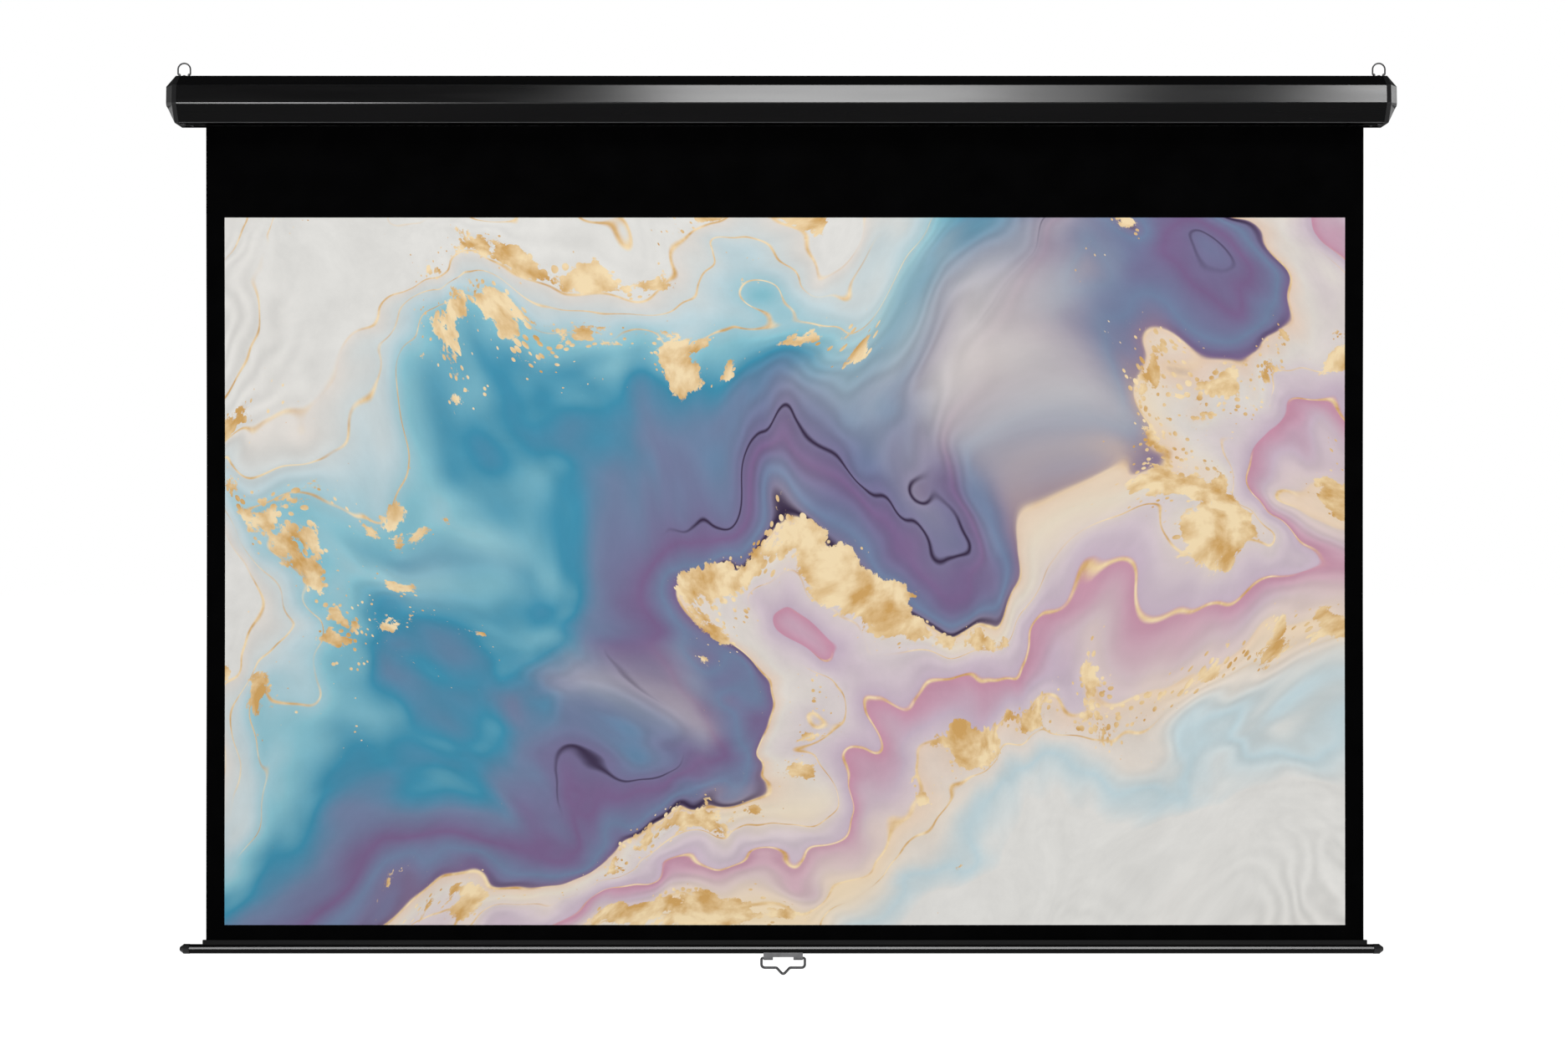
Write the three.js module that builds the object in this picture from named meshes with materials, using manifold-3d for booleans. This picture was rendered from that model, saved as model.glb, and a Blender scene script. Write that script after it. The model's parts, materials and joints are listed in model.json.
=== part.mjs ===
// Pull down projector screen on a spring roller, drawn fully down. Millimetres, +Z up.
// The wall is the plane y = 0 behind the case and the screen faces -Y. The origin lies on
// the wall, at the middle of the case's length and height.
import * as THREE from "three";
import { mergeVertices } from "three/addons/utils/BufferGeometryUtils.js";
import Module from "manifold-3d";

const wasm = await Module();
wasm.setup();

// Clearances
const seat = 0.3; // between pieces that rest on or fit into each other
const turnGap = 0.5; // beside a piece that turns
const overrun = 4; // how far a cutter runs past what it cuts

// Screen fabric
const viewWidth = 2024;
const viewHeight = 1278;
const dropToView = 165; // black fabric between the case and the view
const sideBorder = 33.25;
const bottomBorder = 27;
const sheetThickness = 0.45;
const viewLayer = 0.15;

// Turns of fabric on the roller
const fullTurns = 2;
const windGap = 0.45;

// Case, a folded sheet shell
const caseHeight = 86;
const caseDepth = 84;
const caseWall = 1.4;
const caseTopDepth = 52;
const caseBottomDepth = 62;
const browDrop = 21; // height of the sloping facet above the front face
const faceHeight = 34;
const faceLean = 3;
const foldRadius = 2.5;
const creaseRadius = 7; // the soft crease below the front face
const slotFront = 5; // from the hanging sheet to the slot's front lip
const slotBack = 9;
const lipHeight = 6;

// End caps
const rimLength = 8;
const taperLength = 15;
const capTopDrop = 17;
const capBottomRise = 27;
const capFrontInset = 21;
const capWall = 2.2;
const skirtDepth = 10;
const skirtWall = 2;
const bossRadius = 4;
const bossSpread = 13.5; // from the roller's axis to each screw boss

// Keyholes, each in a cast insert in a cap's back wall
const keyholePlace = 10; // from the case's end
const keyholeRadius = 6;
const keyholeSlotWidth = 6;
const keyholeRise = 12;
const keyholeDrop = 8; // from the origin's height down to the round part
const insertAside = 2.2; // insert beside the keyhole
const insertAlong = 3.5; // insert above and below the keyhole
const insertFlange = 2;
const insertPlate = 1.5;

// Case screws, under each end
const caseScrewInset = 5; // from the case's end
const caseScrewSetback = 46; // from the wall
const caseScrewHeadRadius = 4.5;
const caseScrewHeadRise = 2.2;
const caseScrewShankRadius = 1.8;
const caseScrewLength = 9;

// End brackets, pressed trays
const bracketPlate = 2;
const bracketFlange = 7;
const bracketScrewHeadRadius = 3.4;
const bracketScrewHeadRise = 1.8;
const bracketScrewShankRadius = 1.5;
const bracketScrewLength = 12;

// Roller
const axisDepth = 42; // from the wall
const axisHeight = 1;
const tubeRadius = 19;
const tubeWall = 1.2;
const tubeMargin = 5; // tube beyond the fabric's edges
const grooveWidth = 4.6;
const grooveDepth = 4.2;
const splineWidth = 2.8;
const plugFlange = 3;
const plugFlangeRise = 1.5; // flange beyond the tube's radius
const plugDepth = 16;
const plugRecess = 2.4; // between a plug's hub and its rim
const plugWeb = 4;
const plugRim = 2.4;

// Spring lock at the left end
const spindleRadius = 4.5;
const spindleLength = 285;
const tangThickness = 5;
const tangReach = 4; // tang beyond the bracket
const hubShare = 0.5; // the ratchet hub's radius as a share of the tube's
const hubFlange = 2;
const hubFlangeRise = 1.1;
const bracketRoom = 12;
const pawlPivotRise = 5; // from the hub's rim out to the pawls' pivots
const pawlThickness = 4;
const pawlBossRadius = 2.6;
const pawlNose = 2.4;
const pawlBack = 2;
const pawlTipAside = 4.6; // engaged tip from the line between the axis and the pivot
const pawlTipIn = 8; // engaged tip from the pivot towards the axis
const pawlLift = THREE.MathUtils.degToRad(26);
const pawlPinRadius = 1.5;
const pawlPinHeadRadius = 2.4;
const pawlPinHead = 1;
const springWireRadius = 1.2;
const springRoom = 1.9; // between the torsion spring and the tube's groove
const springTurns = 34;
const collarWidth = 12;

// Idler at the right end
const idlerRadius = 4;
const idlerHeadRadius = 6;
const idlerHead = 3;
const bushRadius = 6.5;
const bushShoulder = 6.2;
const bushShoulderRadius = 9;

// Weight bar
const barRadius = 8.6;
const barWall = 1.3;
const barInset = 10; // from the case's end to the bar tube's end
const neckHeight = 7.5;
const neckWidth = 6.2;
const neckSlot = 2.6;
const neckMargin = 6; // neck beyond the fabric's edges
const barPlugLength = 18;
const barPlugCollar = 11;
const barPlugSpigot = 14;
const barPlugNoseRadius = 3.5;
const barPlugProud = 0.4;
const hemRodRadius = 2.5;

// Handle bracket under the bar
const bracketLength = 71;
const bracketWidth = 13.6;
const bracketSide = 1.8;
const bracketWeb = 2;
const bracketDepth = 14; // from the bar's axis to the bracket's lower edge
const knuckleLength = 17;
const knuckleRadius = 3.7;
const handleRivetSpacing = 24;
const handleRivetRadius = 1.3;
const handleRivetHeadRadius = 2.6;
const handleRivetHead = 1.4;

// Pull handle
const handleShift = 3; // from the bar's middle
const handleWireRadius = 2.3;
const handlePivotDrop = 16.6; // from the bar's axis
const handleDrop = 17.5; // from the pivot to the grip
const handleDip = 13;
const handleDipHalfWidth = 12;
const handleOverhang = 3.7; // side wires beyond the bracket
const handleTail = 13; // wire inside each knuckle
const handleTopBend = 3.3;
const handleBend = 6;
const handleDipBend = 4.5;

// Hanging loops and their saddles
const loopWireRadius = 1.4;
const loopHalfWidth = 11.1;
const loopLeg = 9.7;
const loopBend = 2.2;
const loopTail = 4.6;
const loopInset = 4; // from the case's end to the saddle's middle
const loopDepth = 38; // from the wall
const saddlePlate = 1.2;
const saddleWidth = 9;
const earThickness = 1.4;
const earReach = 1.1; // ear above its hole
const pivotRise = 3.6; // from the case's top to the loop's pivot
const saddleRivetRadius = 1.5;
const saddleRivetHeadRadius = 3;
const saddleRivetHead = 1.5;
const saddleRivetLength = 5.5;

// Facets
const tubeSides = 32;
const shaftSides = 20;
const pinSides = 12;
const screwSides = 12;
const wireSides = 8;
const bendSteps = 4;
const creaseSteps = 5;
const insideSteps = 2; // on the corners of inside faces
const springSteps = 8;
const springSides = 5;

// Places that follow from the sizes
const fabricWidth = viewWidth + 2 * sideBorder;
const fabricThickness = sheetThickness + viewLayer;
const lockStack = plugFlange + turnGap + pawlThickness + turnGap + hubFlange;
const leftRoom = tubeMargin + seat + lockStack + bracketRoom + bracketPlate + skirtDepth;
const idlerStack = plugFlange + turnGap + bushShoulder;
const rightRoom = tubeMargin + seat + idlerStack + seat + bracketPlate + skirtDepth;
const caseEnd = (leftRoom + fabricWidth + rightRoom) / 2;
const fabricLeft = leftRoom - caseEnd;
const fabricRight = fabricLeft + fabricWidth;
const tubeLeft = fabricLeft - tubeMargin;
const tubeRight = fabricRight + tubeMargin;
const leftFlangeFace = tubeLeft - seat - plugFlange;
const rightFlangeFace = tubeRight + seat + plugFlange;
const bracketOuter = caseEnd - skirtDepth;
const bracketInner = bracketOuter - bracketPlate;
const caseTop = caseHeight / 2;
const grooveInside = tubeRadius - grooveDepth - tubeWall;
const plugFlangeRadius = tubeRadius + plugFlangeRise;
const plugBodyRadius = grooveInside - seat;
const plugHubRadius = plugBodyRadius - plugRim - plugRecess;
const hubRadius = tubeRadius * hubShare;
const pawlPivotRadius = hubRadius + pawlPivotRise;
const hubFlangeRadius = hubRadius + hubFlangeRise;
const springRadius = grooveInside - springRoom - springWireRadius;
const windPitch = fabricThickness + windGap;
const windStart = tubeRadius + seat + fabricThickness / 2;
const woundTurns = fullTurns + 0.25; // and a quarter turn from the groove to the hanging sheet
const windEnd = windStart + windPitch * woundTurns;
const sheetBack = windEnd - axisDepth + fabricThickness / 2;
const sheetFront = sheetBack - sheetThickness;
const sheetMiddle = (sheetBack + sheetFront) / 2;
const viewTop = -caseTop - dropToView;
const viewBottom = viewTop - viewHeight;
const neckTop = viewBottom - bottomBorder;
const barHeight = neckTop - neckHeight - barRadius;
const barEnd = caseEnd - barInset;
const barBore = barRadius - barWall;
const capBack = caseWall + seat + skirtWall; // the back wall's thickness
const keyholeMiddle = caseEnd + keyholePlace;
const keyholeTop = keyholeRise - keyholeDrop;
const hemLoopRadius = hemRodRadius + seat + sheetThickness;
const hemHeight = barHeight + barBore - seat - hemLoopRadius;
const loopMiddle = caseEnd - loopInset;
const pivotHeight = caseTop + pivotRise;
const handlePivotHeight = barHeight - handlePivotDrop;
const pawlReach = Math.hypot(pawlTipAside, pawlTipIn);
const pawlEngaged = Math.atan2(-pawlTipIn, -pawlTipAside);

// Materials
const standard = (color, roughness, metalness) =>
  new THREE.MeshStandardMaterial({ color, roughness, metalness });
const caseCoat = () => standard(0x17171a, 0.32, 0.25);
const blackPlastic = () => standard(0x1a1a1c, 0.5, 0);
const blackFabric = () => standard(0x060606, 0.9, 0);
const whiteScreen = () => standard(0xe2e0dc, 0.85, 0);
const zincSteel = () => standard(0xa9abae, 0.4, 0.85);
const darkSteel = () => standard(0x4a4b4e, 0.35, 0.9);
const blackScrew = () => standard(0x222226, 0.4, 0.6);
const greyNylon = () => standard(0xb9b7af, 0.6, 0);
const springSteel = () => standard(0x77797c, 0.35, 0.9);

const quarterTurn = Math.PI / 2;
const point = (y, z) => new THREE.Vector2(y, z);

// Solids

function solid(geometry) {
  const bare = new THREE.BufferGeometry();
  bare.setAttribute("position", geometry.getAttribute("position"));
  bare.setIndex(geometry.index);
  const merged = mergeVertices(bare);
  return new wasm.Manifold(new wasm.Mesh({
    numProp: 3,
    vertProperties: merged.getAttribute("position").array,
    triVerts: new Uint32Array(merged.index.array),
  }));
}

const joined = (bodies) => bodies.reduce((whole, body) => whole.add(body));
const cutFrom = (body, cuts) => cuts.reduce((whole, cut) => whole.subtract(cut), body);

function mirrored(body) {
  const { vertProperties, triVerts } = body.getMesh();
  const flip = (value, i) => (i % 3 === 0 ? -value : value);
  const reverse = (_, i) => triVerts[i + 2 - 2 * (i % 3)];
  return new wasm.Manifold(new wasm.Mesh({
    numProp: 3,
    vertProperties: vertProperties.map(flip),
    triVerts: triVerts.map(reverse),
  }));
}

function piece(name, body, material) {
  const { vertProperties, triVerts } = body.getMesh();
  const geometry = new THREE.BufferGeometry();
  geometry.setAttribute("position", new THREE.BufferAttribute(vertProperties, 3));
  geometry.setIndex(new THREE.BufferAttribute(triVerts, 1));
  geometry.computeVertexNormals();
  const mesh = new THREE.Mesh(geometry, material);
  mesh.name = name;
  return mesh;
}

// A pair of pieces, the right one as built and the left one mirrored
function pair(name, body, material) {
  return [piece(`right_${name}`, body, material()), piece(`left_${name}`, mirrored(body), material())];
}

// An outline in y and z, drawn out along X
function prism(outline, from, to) {
  const shape = new THREE.Shape(outline);
  const geometry = new THREE.ExtrudeGeometry(shape, { depth: to - from, bevelEnabled: false });
  return solid(geometry.rotateX(quarterTurn).rotateZ(quarterTurn).translate(from, 0, 0));
}

function block(x, y, z) {
  const corners = [point(y[0], z[0]), point(y[1], z[0]), point(y[1], z[1]), point(y[0], z[1])];
  return prism(corners, x[0], x[1]);
}

// A profile of [radius, place] pairs turned about the X axis, or about Z
function turnedX(profile, sides) {
  const points = profile.map(([radius, place]) => point(radius, place));
  return new THREE.LatheGeometry(points, sides).rotateZ(-quarterTurn);
}

function turnedZ(profile, sides) {
  const points = profile.map(([radius, place]) => point(radius, place));
  return new THREE.LatheGeometry(points, sides).rotateX(quarterTurn);
}

function rodX(radius, from, to, sides, y = 0, z = 0) {
  const profile = [[0, from], [radius, from], [radius, to], [0, to]];
  return solid(turnedX(profile, sides).translate(0, y, z));
}

function rodZ(radius, from, to, sides, x, y) {
  const profile = [[0, from], [radius, from], [radius, to], [0, to]];
  return solid(turnedZ(profile, sides).translate(x, y, 0));
}

function ringX(outer, inner, from, to, sides, y = 0, z = 0) {
  const bore = rodX(inner, from - overrun, to + overrun, sides, y, z);
  return rodX(outer, from, to, sides, y, z).subtract(bore);
}

// Outlines

// The corners of a polygon, each replaced by an arc
function rounded(corners, radii, steps, closed = true) {
  return corners.flatMap((corner, i) => {
    if (!closed && (i === 0 || i === corners.length - 1)) return [corner];
    const before = corners.at(i - 1).clone().sub(corner).normalize();
    const after = corners[(i + 1) % corners.length].clone().sub(corner).normalize();
    const half = Math.acos(before.dot(after)) / 2;
    const middle = before.clone().add(after).setLength(radii[i] / Math.sin(half)).add(corner);
    const reach = radii[i] / Math.tan(half);
    const start = before.clone().multiplyScalar(reach).add(corner).sub(middle);
    const side = Math.sign(before.cross(after));
    const sweep = -side * (Math.PI - 2 * half);
    return Array.from({ length: steps + 1 }, (_, k) =>
      start.clone().rotateAround(point(0, 0), (sweep * k) / steps).add(middle));
  });
}

// The corners of a polygon that runs counterclockwise, moved inwards
function insetCorners(corners, inset) {
  const edge = (i) => {
    const from = corners.at(i);
    const along = corners[(i + 1) % corners.length].clone().sub(from).normalize();
    const start = point(-along.y, along.x).multiplyScalar(inset).add(from);
    return { start, along };
  };
  return corners.map((_, i) => {
    const before = edge(i - 1 < 0 ? corners.length - 1 : i - 1);
    const after = edge(i);
    const gap = after.start.clone().sub(before.start);
    const reach = gap.cross(after.along) / before.along.cross(after.along);
    return before.along.clone().multiplyScalar(reach).add(before.start);
  });
}

const caseCorners = [
  point(0, -caseTop),
  point(0, caseTop),
  point(-caseTopDepth, caseTop),
  point(faceLean - caseDepth, caseTop - browDrop),
  point(-caseDepth, caseTop - browDrop - faceHeight),
  point(-caseBottomDepth, -caseTop),
];
const creaseCorner = 4; // the corner below the front face
const leastRadius = foldRadius / 5;

// The case's outline, moved inwards and drawn to another outline's corners
function caseOutline(inset, corners = caseCorners) {
  const radii = corners.map((_, i) =>
    Math.max((i === creaseCorner ? creaseRadius : foldRadius) - inset, leastRadius));
  return rounded(insetCorners(corners, inset), radii, inset > 0 ? insideSteps : creaseSteps);
}

const leastMitreShare = 0.5;

// A strip of even thickness along an open path
function strip(path, thickness) {
  const normals = path.map((_, i) => {
    const before = path[i].clone().sub(path[Math.max(i - 1, 0)]).normalize();
    const after = path[Math.min(i + 1, path.length - 1)].clone().sub(path[i]).normalize();
    const along = before.clone().add(after).normalize();
    const mitre = Math.max(along.dot(i === 0 ? after : before), leastMitreShare);
    return point(-along.y, along.x).multiplyScalar(thickness / 2 / mitre);
  });
  const left = path.map((at, i) => at.clone().add(normals[i]));
  const right = path.map((at, i) => at.clone().sub(normals[i]));
  return [...left, ...right.reverse()];
}

// Two outlines with the same number of points, joined along X
function loft(from, fromX, to, toX) {
  const count = from.length;
  const positions = [
    ...from.flatMap((at) => [fromX, at.x, at.y]),
    ...to.flatMap((at) => [toX, at.x, at.y]),
  ];
  const sides = from.flatMap((_, i) => {
    const next = (i + 1) % count;
    return [i, next, count + next, i, count + next, count + i];
  });
  const face = THREE.ShapeUtils.triangulateShape(from, []);
  const near = face.flatMap(([a, b, c]) => [a, c, b]);
  const far = face.flatMap(([a, b, c]) => [count + a, count + b, count + c]);
  const geometry = new THREE.BufferGeometry();
  geometry.setAttribute("position", new THREE.Float32BufferAttribute(positions, 3));
  geometry.setIndex([...sides, ...near, ...far]);
  return solid(geometry);
}

// A round wire along a list of points, closed at both ends
function wire(path, radius, sides) {
  const directions = path.map((_, i) => {
    const before = path[Math.max(i - 1, 0)];
    const after = path[Math.min(i + 1, path.length - 1)];
    return after.clone().sub(before).normalize();
  });
  const across = new THREE.Vector3(0, 1, 0);
  const positions = path.flatMap((at, i) => {
    across.addScaledVector(directions[i], -across.dot(directions[i])).normalize();
    const other = directions[i].clone().cross(across);
    return Array.from({ length: sides }, (_, k) => {
      const angle = (2 * Math.PI * k) / sides;
      return at.clone().addScaledVector(across, radius * Math.cos(angle))
        .addScaledVector(other, radius * Math.sin(angle)).toArray();
    }).flat();
  });
  const skin = path.slice(1).flatMap((_, i) => Array.from({ length: sides }, (_, k) => {
    const [a, b] = [i * sides + k, i * sides + ((k + 1) % sides)];
    return [a, b, b + sides, a, b + sides, a + sides];
  }).flat());
  const last = (path.length - 1) * sides;
  const ends = Array.from({ length: sides - 2 }, (_, k) =>
    [0, k + 2, k + 1, last, last + k + 1, last + k + 2]).flat();
  const geometry = new THREE.BufferGeometry();
  geometry.setAttribute("position", new THREE.Float32BufferAttribute(positions, 3));
  geometry.setIndex([...skin, ...ends]);
  return solid(geometry);
}

// A wire path in x and z, from its half on the +X side
function bowPath(half) {
  const other = half.slice().reverse().map((at) => point(-at.x, at.y));
  return [...half, ...other].map((at) => new THREE.Vector3(at.x, 0, at.y));
}

// Case and end caps

function caseHousing() {
  const bore = prism(caseOutline(caseWall), -caseEnd - overrun, caseEnd + overrun);
  const shell = prism(caseOutline(0), -caseEnd, caseEnd).subtract(bore);
  const slot = [sheetMiddle - slotFront, sheetMiddle + slotBack];
  const lip = (y) => block([-caseEnd, caseEnd], [y, y + caseWall], [-caseTop, lipHeight - caseTop]);
  const mouth = block([-caseEnd - overrun, caseEnd + overrun], slot,
    [-caseTop - overrun, 2 * caseWall - caseTop]);
  const lipped = joined([shell.subtract(mouth), lip(slot[0] - caseWall), lip(slot[1])]);
  const skirtRoom = (side) => block(
    [side * caseEnd - skirtDepth - overrun, side * caseEnd + skirtDepth + overrun],
    [slot[0] - caseWall - overrun, slot[1] + caseWall + overrun],
    [caseWall - caseTop, lipHeight - caseTop + overrun]);
  const holes = [-1, 1].flatMap((side) => [
    skirtRoom(side),
    caseScrewHole(side),
    saddleRivetHole(side),
  ]);
  return cutFrom(lipped, holes);
}

const caseScrewHole = (side) => rodZ(caseScrewShankRadius + seat, -caseTop - overrun,
  caseScrewLength - caseTop, screwSides, side * (caseEnd - caseScrewInset), -caseScrewSetback);

const saddleRivetHole = (side) => rodZ(saddleRivetRadius + seat, caseTop - saddleRivetLength - seat,
  caseTop + overrun, screwSides, side * loopMiddle, -loopDepth);

// The end face is as high as the front face, so the sloping facets narrow towards it
function capFace(inset) {
  const depthShare = (caseDepth - capFrontInset) / caseDepth;
  const [foot, top] = [capBottomRise - caseTop, caseTop - capTopDrop];
  const corners = caseCorners.map((at) =>
    point(at.x * depthShare, THREE.MathUtils.clamp(at.y, foot, top)));
  return caseOutline(inset, corners);
}

function endCap() {
  const rimEnd = caseEnd + rimLength;
  const capEnd = rimEnd + taperLength;
  const skirtOutline = caseOutline(caseWall + seat);
  const hollowOutline = caseOutline(capBack);
  const skirtStart = bracketOuter + seat;
  const rim = prism(caseOutline(0), caseEnd + seat, rimEnd);
  const taper = loft(caseOutline(0), rimEnd, capFace(0), capEnd);
  const skirt = prism(skirtOutline, skirtStart, caseEnd + seat + capWall);
  const hollow = prism(hollowOutline, skirtStart - overrun, rimEnd)
    .add(loft(hollowOutline, rimEnd, capFace(capWall), capEnd - capWall));
  const bosses = [-1, 1].map((side) => rodX(bossRadius, skirtStart, capEnd - capWall / 2,
    screwSides, side * bossSpread - axisDepth, axisHeight));
  const screwBlock = block(
    [skirtStart, caseEnd + rimLength / 2],
    [-caseScrewSetback - bossRadius, -caseScrewSetback + bossRadius],
    [-caseTop + caseWall + seat, -caseTop + caseScrewLength]);
  const shell = joined([rim, taper, skirt]).subtract(hollow);
  const boreReach = bracketScrewLength - bracketPlate + turnGap;
  const bossBores = [-1, 1].map((side) => rodX(bracketScrewShankRadius + seat, skirtStart - overrun,
    bracketOuter + boreReach, screwSides, side * bossSpread - axisDepth, axisHeight));
  const window = aroundKeyhole(insertAside + seat, insertAlong + seat, [-capBack - overrun, overrun]);
  const cuts = [...bossBores, caseScrewHole(1), saddleRivetHole(1), window];
  return cutFrom(joined([shell, ...bosses, screwBlock]), cuts);
}

// A keyhole is a round hole for the screw's head, and a slot above it
function keyhole() {
  const reach = capBack + seat + insertPlate + overrun;
  const half = keyholeSlotWidth / 2;
  const rod = (radius, z) => solid(
    new THREE.CylinderGeometry(radius, radius, 2 * reach, screwSides).translate(keyholeMiddle, 0, z));
  const slot = block([keyholeMiddle - half, keyholeMiddle + half], [-reach, reach],
    [-keyholeDrop, keyholeTop]);
  return joined([rod(keyholeRadius, -keyholeDrop), slot, rod(half, keyholeTop)]);
}

function aroundKeyhole(aside, along, depth) {
  const half = keyholeRadius + aside;
  const [foot, top] = [-keyholeDrop - keyholeRadius, keyholeTop + keyholeSlotWidth / 2];
  return block([keyholeMiddle - half, keyholeMiddle + half], depth, [foot - along, top + along]);
}

// The insert fills its window in the cap's back wall, and its flange lies behind the wall
function keyholeInsert() {
  const behind = -capBack - seat;
  const body = aroundKeyhole(insertAside, insertAlong, [behind - insertPlate, 0]);
  const flange = aroundKeyhole(insertAside - insertPlate, insertAlong + insertFlange,
    [behind - insertPlate, behind]);
  return body.add(flange).subtract(keyhole());
}

// A domed head, in shares of its radius and its rise
const domeShares = [[0.6, 0.85], [1, 0.3], [1, 0]];

// A screw or rivet: its domed head reaches below zero, and its shank above
function fastener(headRadius, headRise, shankRadius, shankLength) {
  const dome = domeShares.map(([across, along]) => [headRadius * across, -headRise * along]);
  return [[0, -headRise], ...dome, [shankRadius, 0], [shankRadius, shankLength], [0, shankLength]];
}

function caseScrew() {
  const profile = fastener(caseScrewHeadRadius, caseScrewHeadRise, caseScrewShankRadius, caseScrewLength);
  return solid(turnedZ(profile, screwSides)
    .translate(caseEnd - caseScrewInset, -caseScrewSetback, -caseTop - seat));
}

// End brackets

function bracketTray() {
  const flangeEnd = bracketInner - bracketFlange;
  const tray = prism(caseOutline(caseWall + seat), flangeEnd, bracketOuter);
  const dish = prism(caseOutline(caseWall + seat + bracketPlate), flangeEnd - overrun, bracketInner);
  const mouth = block([flangeEnd - overrun, bracketInner],
    [sheetMiddle - slotFront - overrun, sheetMiddle + slotBack + overrun],
    [-caseTop, lipHeight - caseTop + overrun]);
  const holes = [-1, 1].map((side) => rodX(bracketScrewShankRadius + seat, bracketInner - overrun,
    bracketOuter + overrun, screwSides, side * bossSpread - axisDepth, axisHeight));
  return cutFrom(tray, [dish, mouth, ...holes]);
}

function rightBracket() {
  const bore = rodX(bushRadius + seat, bracketInner - overrun, bracketOuter + overrun,
    shaftSides, -axisDepth, axisHeight);
  return bracketTray().subtract(bore);
}

function leftBracket() {
  const halfSlot = spindleRadius + seat;
  const halfHeight = tangThickness / 2 + seat;
  const slot = block([bracketInner - overrun, bracketOuter + overrun],
    [-axisDepth - halfSlot, -axisDepth + halfSlot], [axisHeight - halfHeight, axisHeight + halfHeight]);
  return mirrored(bracketTray().subtract(slot));
}

function bracketScrew(side) {
  const profile = fastener(bracketScrewHeadRadius, bracketScrewHeadRise,
    bracketScrewShankRadius, bracketScrewLength);
  return solid(turnedX(profile, screwSides)
    .translate(bracketInner - seat, side * bossSpread - axisDepth, axisHeight));
}

// Hanging loops, drawn around their pivot at the middle of their own length

function saddle() {
  const earOuter = loopHalfWidth - loopWireRadius - turnGap;
  const earInner = earOuter - earThickness;
  const base = seat - pivotRise;
  const earTop = loopWireRadius + seat + earReach;
  const half = saddleWidth / 2;
  const plate = block([-earOuter, earOuter], [-half, half], [base, base + saddlePlate]);
  const ear = (from, to) => block([from, to], [-earTop, earTop], [base, 0])
    .add(rodX(earTop, from, to, shaftSides));
  const wireHole = rodX(loopWireRadius + seat, -earOuter - overrun, earOuter + overrun, shaftSides);
  const rivetHole = rodZ(saddleRivetRadius + seat, base - overrun, base + saddlePlate + overrun,
    screwSides, 0, 0);
  const body = joined([plate, ear(-earOuter, -earInner), ear(earInner, earOuter)]);
  return cutFrom(body, [wireHole, rivetHole]);
}

function saddleRivet() {
  const profile = fastener(saddleRivetHeadRadius, saddleRivetHead, saddleRivetRadius, saddleRivetLength);
  return solid(turnedZ(profile, screwSides).rotateX(Math.PI)
    .translate(0, 0, 2 * seat + saddlePlate - pivotRise));
}

function hangingLoop() {
  const half = rounded([
    point(loopHalfWidth - loopTail, 0),
    point(loopHalfWidth, 0),
    point(loopHalfWidth, loopLeg),
  ], [0, loopBend, 0], bendSteps, false);
  const arcSteps = 2 * bendSteps;
  const arc = Array.from({ length: arcSteps - 1 }, (_, k) => {
    const angle = (quarterTurn * (k + 1)) / arcSteps;
    return point(loopHalfWidth * Math.cos(angle), loopLeg + loopHalfWidth * Math.sin(angle));
  });
  return wire(bowPath([...half, ...arc]), loopWireRadius, wireSides);
}

// Roller, drawn around its own axis

// A circle with a square groove at its top, counterclockwise from the groove's left edge
function groovedCircle(radius, width, depth) {
  const open = Math.asin(width / 2 / radius);
  const arc = Array.from({ length: tubeSides + 1 }, (_, k) => {
    const angle = quarterTurn + open + ((2 * Math.PI - 2 * open) * k) / tubeSides;
    return point(radius * Math.cos(angle), radius * Math.sin(angle));
  });
  const floor = radius - depth;
  return [...arc, point(width / 2, floor), point(-width / 2, floor)];
}

function rollerTube() {
  const bore = groovedCircle(tubeRadius - tubeWall, grooveWidth + 2 * tubeWall, grooveDepth);
  return prism(groovedCircle(tubeRadius, grooveWidth, grooveDepth), tubeLeft, tubeRight)
    .subtract(prism(bore, tubeLeft - overrun, tubeRight + overrun));
}

// A point on the wound fabric's middle line, so many turns in from where the sheet hangs off
function windPoint(turn) {
  const radius = windEnd - windPitch * turn;
  return point(radius * Math.cos(2 * Math.PI * turn), radius * Math.sin(2 * Math.PI * turn));
}

// How near a point lies to the line between two others
function toLine(at, from, to) {
  const along = to.clone().sub(from);
  const share = at.clone().sub(from).dot(along) / along.lengthSq();
  return along.multiplyScalar(THREE.MathUtils.clamp(share, 0, 1)).add(from).distanceTo(at);
}

// The wound fabric runs out from the groove, round the tube and off at the back. Each turn
// has its points beside those of the turn inside it, so that the facets keep their gap.
function fabricRoll() {
  const tailY = grooveWidth / 2 - seat - fabricThickness / 2;
  const lastTurn = woundTurns - Math.asin(tailY / windStart) / (2 * Math.PI);
  const steps = Math.round(lastTurn * tubeSides) - 1;
  const evenly = Array.from({ length: steps + 1 }, (_, k) => windPoint(k / tubeSides));
  const spiral = [...evenly, windPoint(lastTurn)];
  const halfTurn = tubeSides / 2;
  const gaps = spiral.flatMap((at, k) => spiral.slice(k + halfTurn, -1)
    .map((from, j) => toLine(at, from, spiral[k + halfTurn + j + 1])));
  const least = Math.min(...gaps) - fabricThickness;
  console.log(`wound fabric: least gap between its turns ${least.toFixed(2)} mm`);
  const tail = point(tailY, tubeRadius - grooveDepth + 2 * seat);
  return prism(strip([...spiral, tail], fabricThickness), fabricLeft, fabricRight);
}

function fabricSpline() {
  const left = seat - grooveWidth / 2;
  const floor = tubeRadius - grooveDepth + seat;
  return block([fabricLeft, fabricRight], [left, left + splineWidth], [floor, floor + splineWidth]);
}

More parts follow.
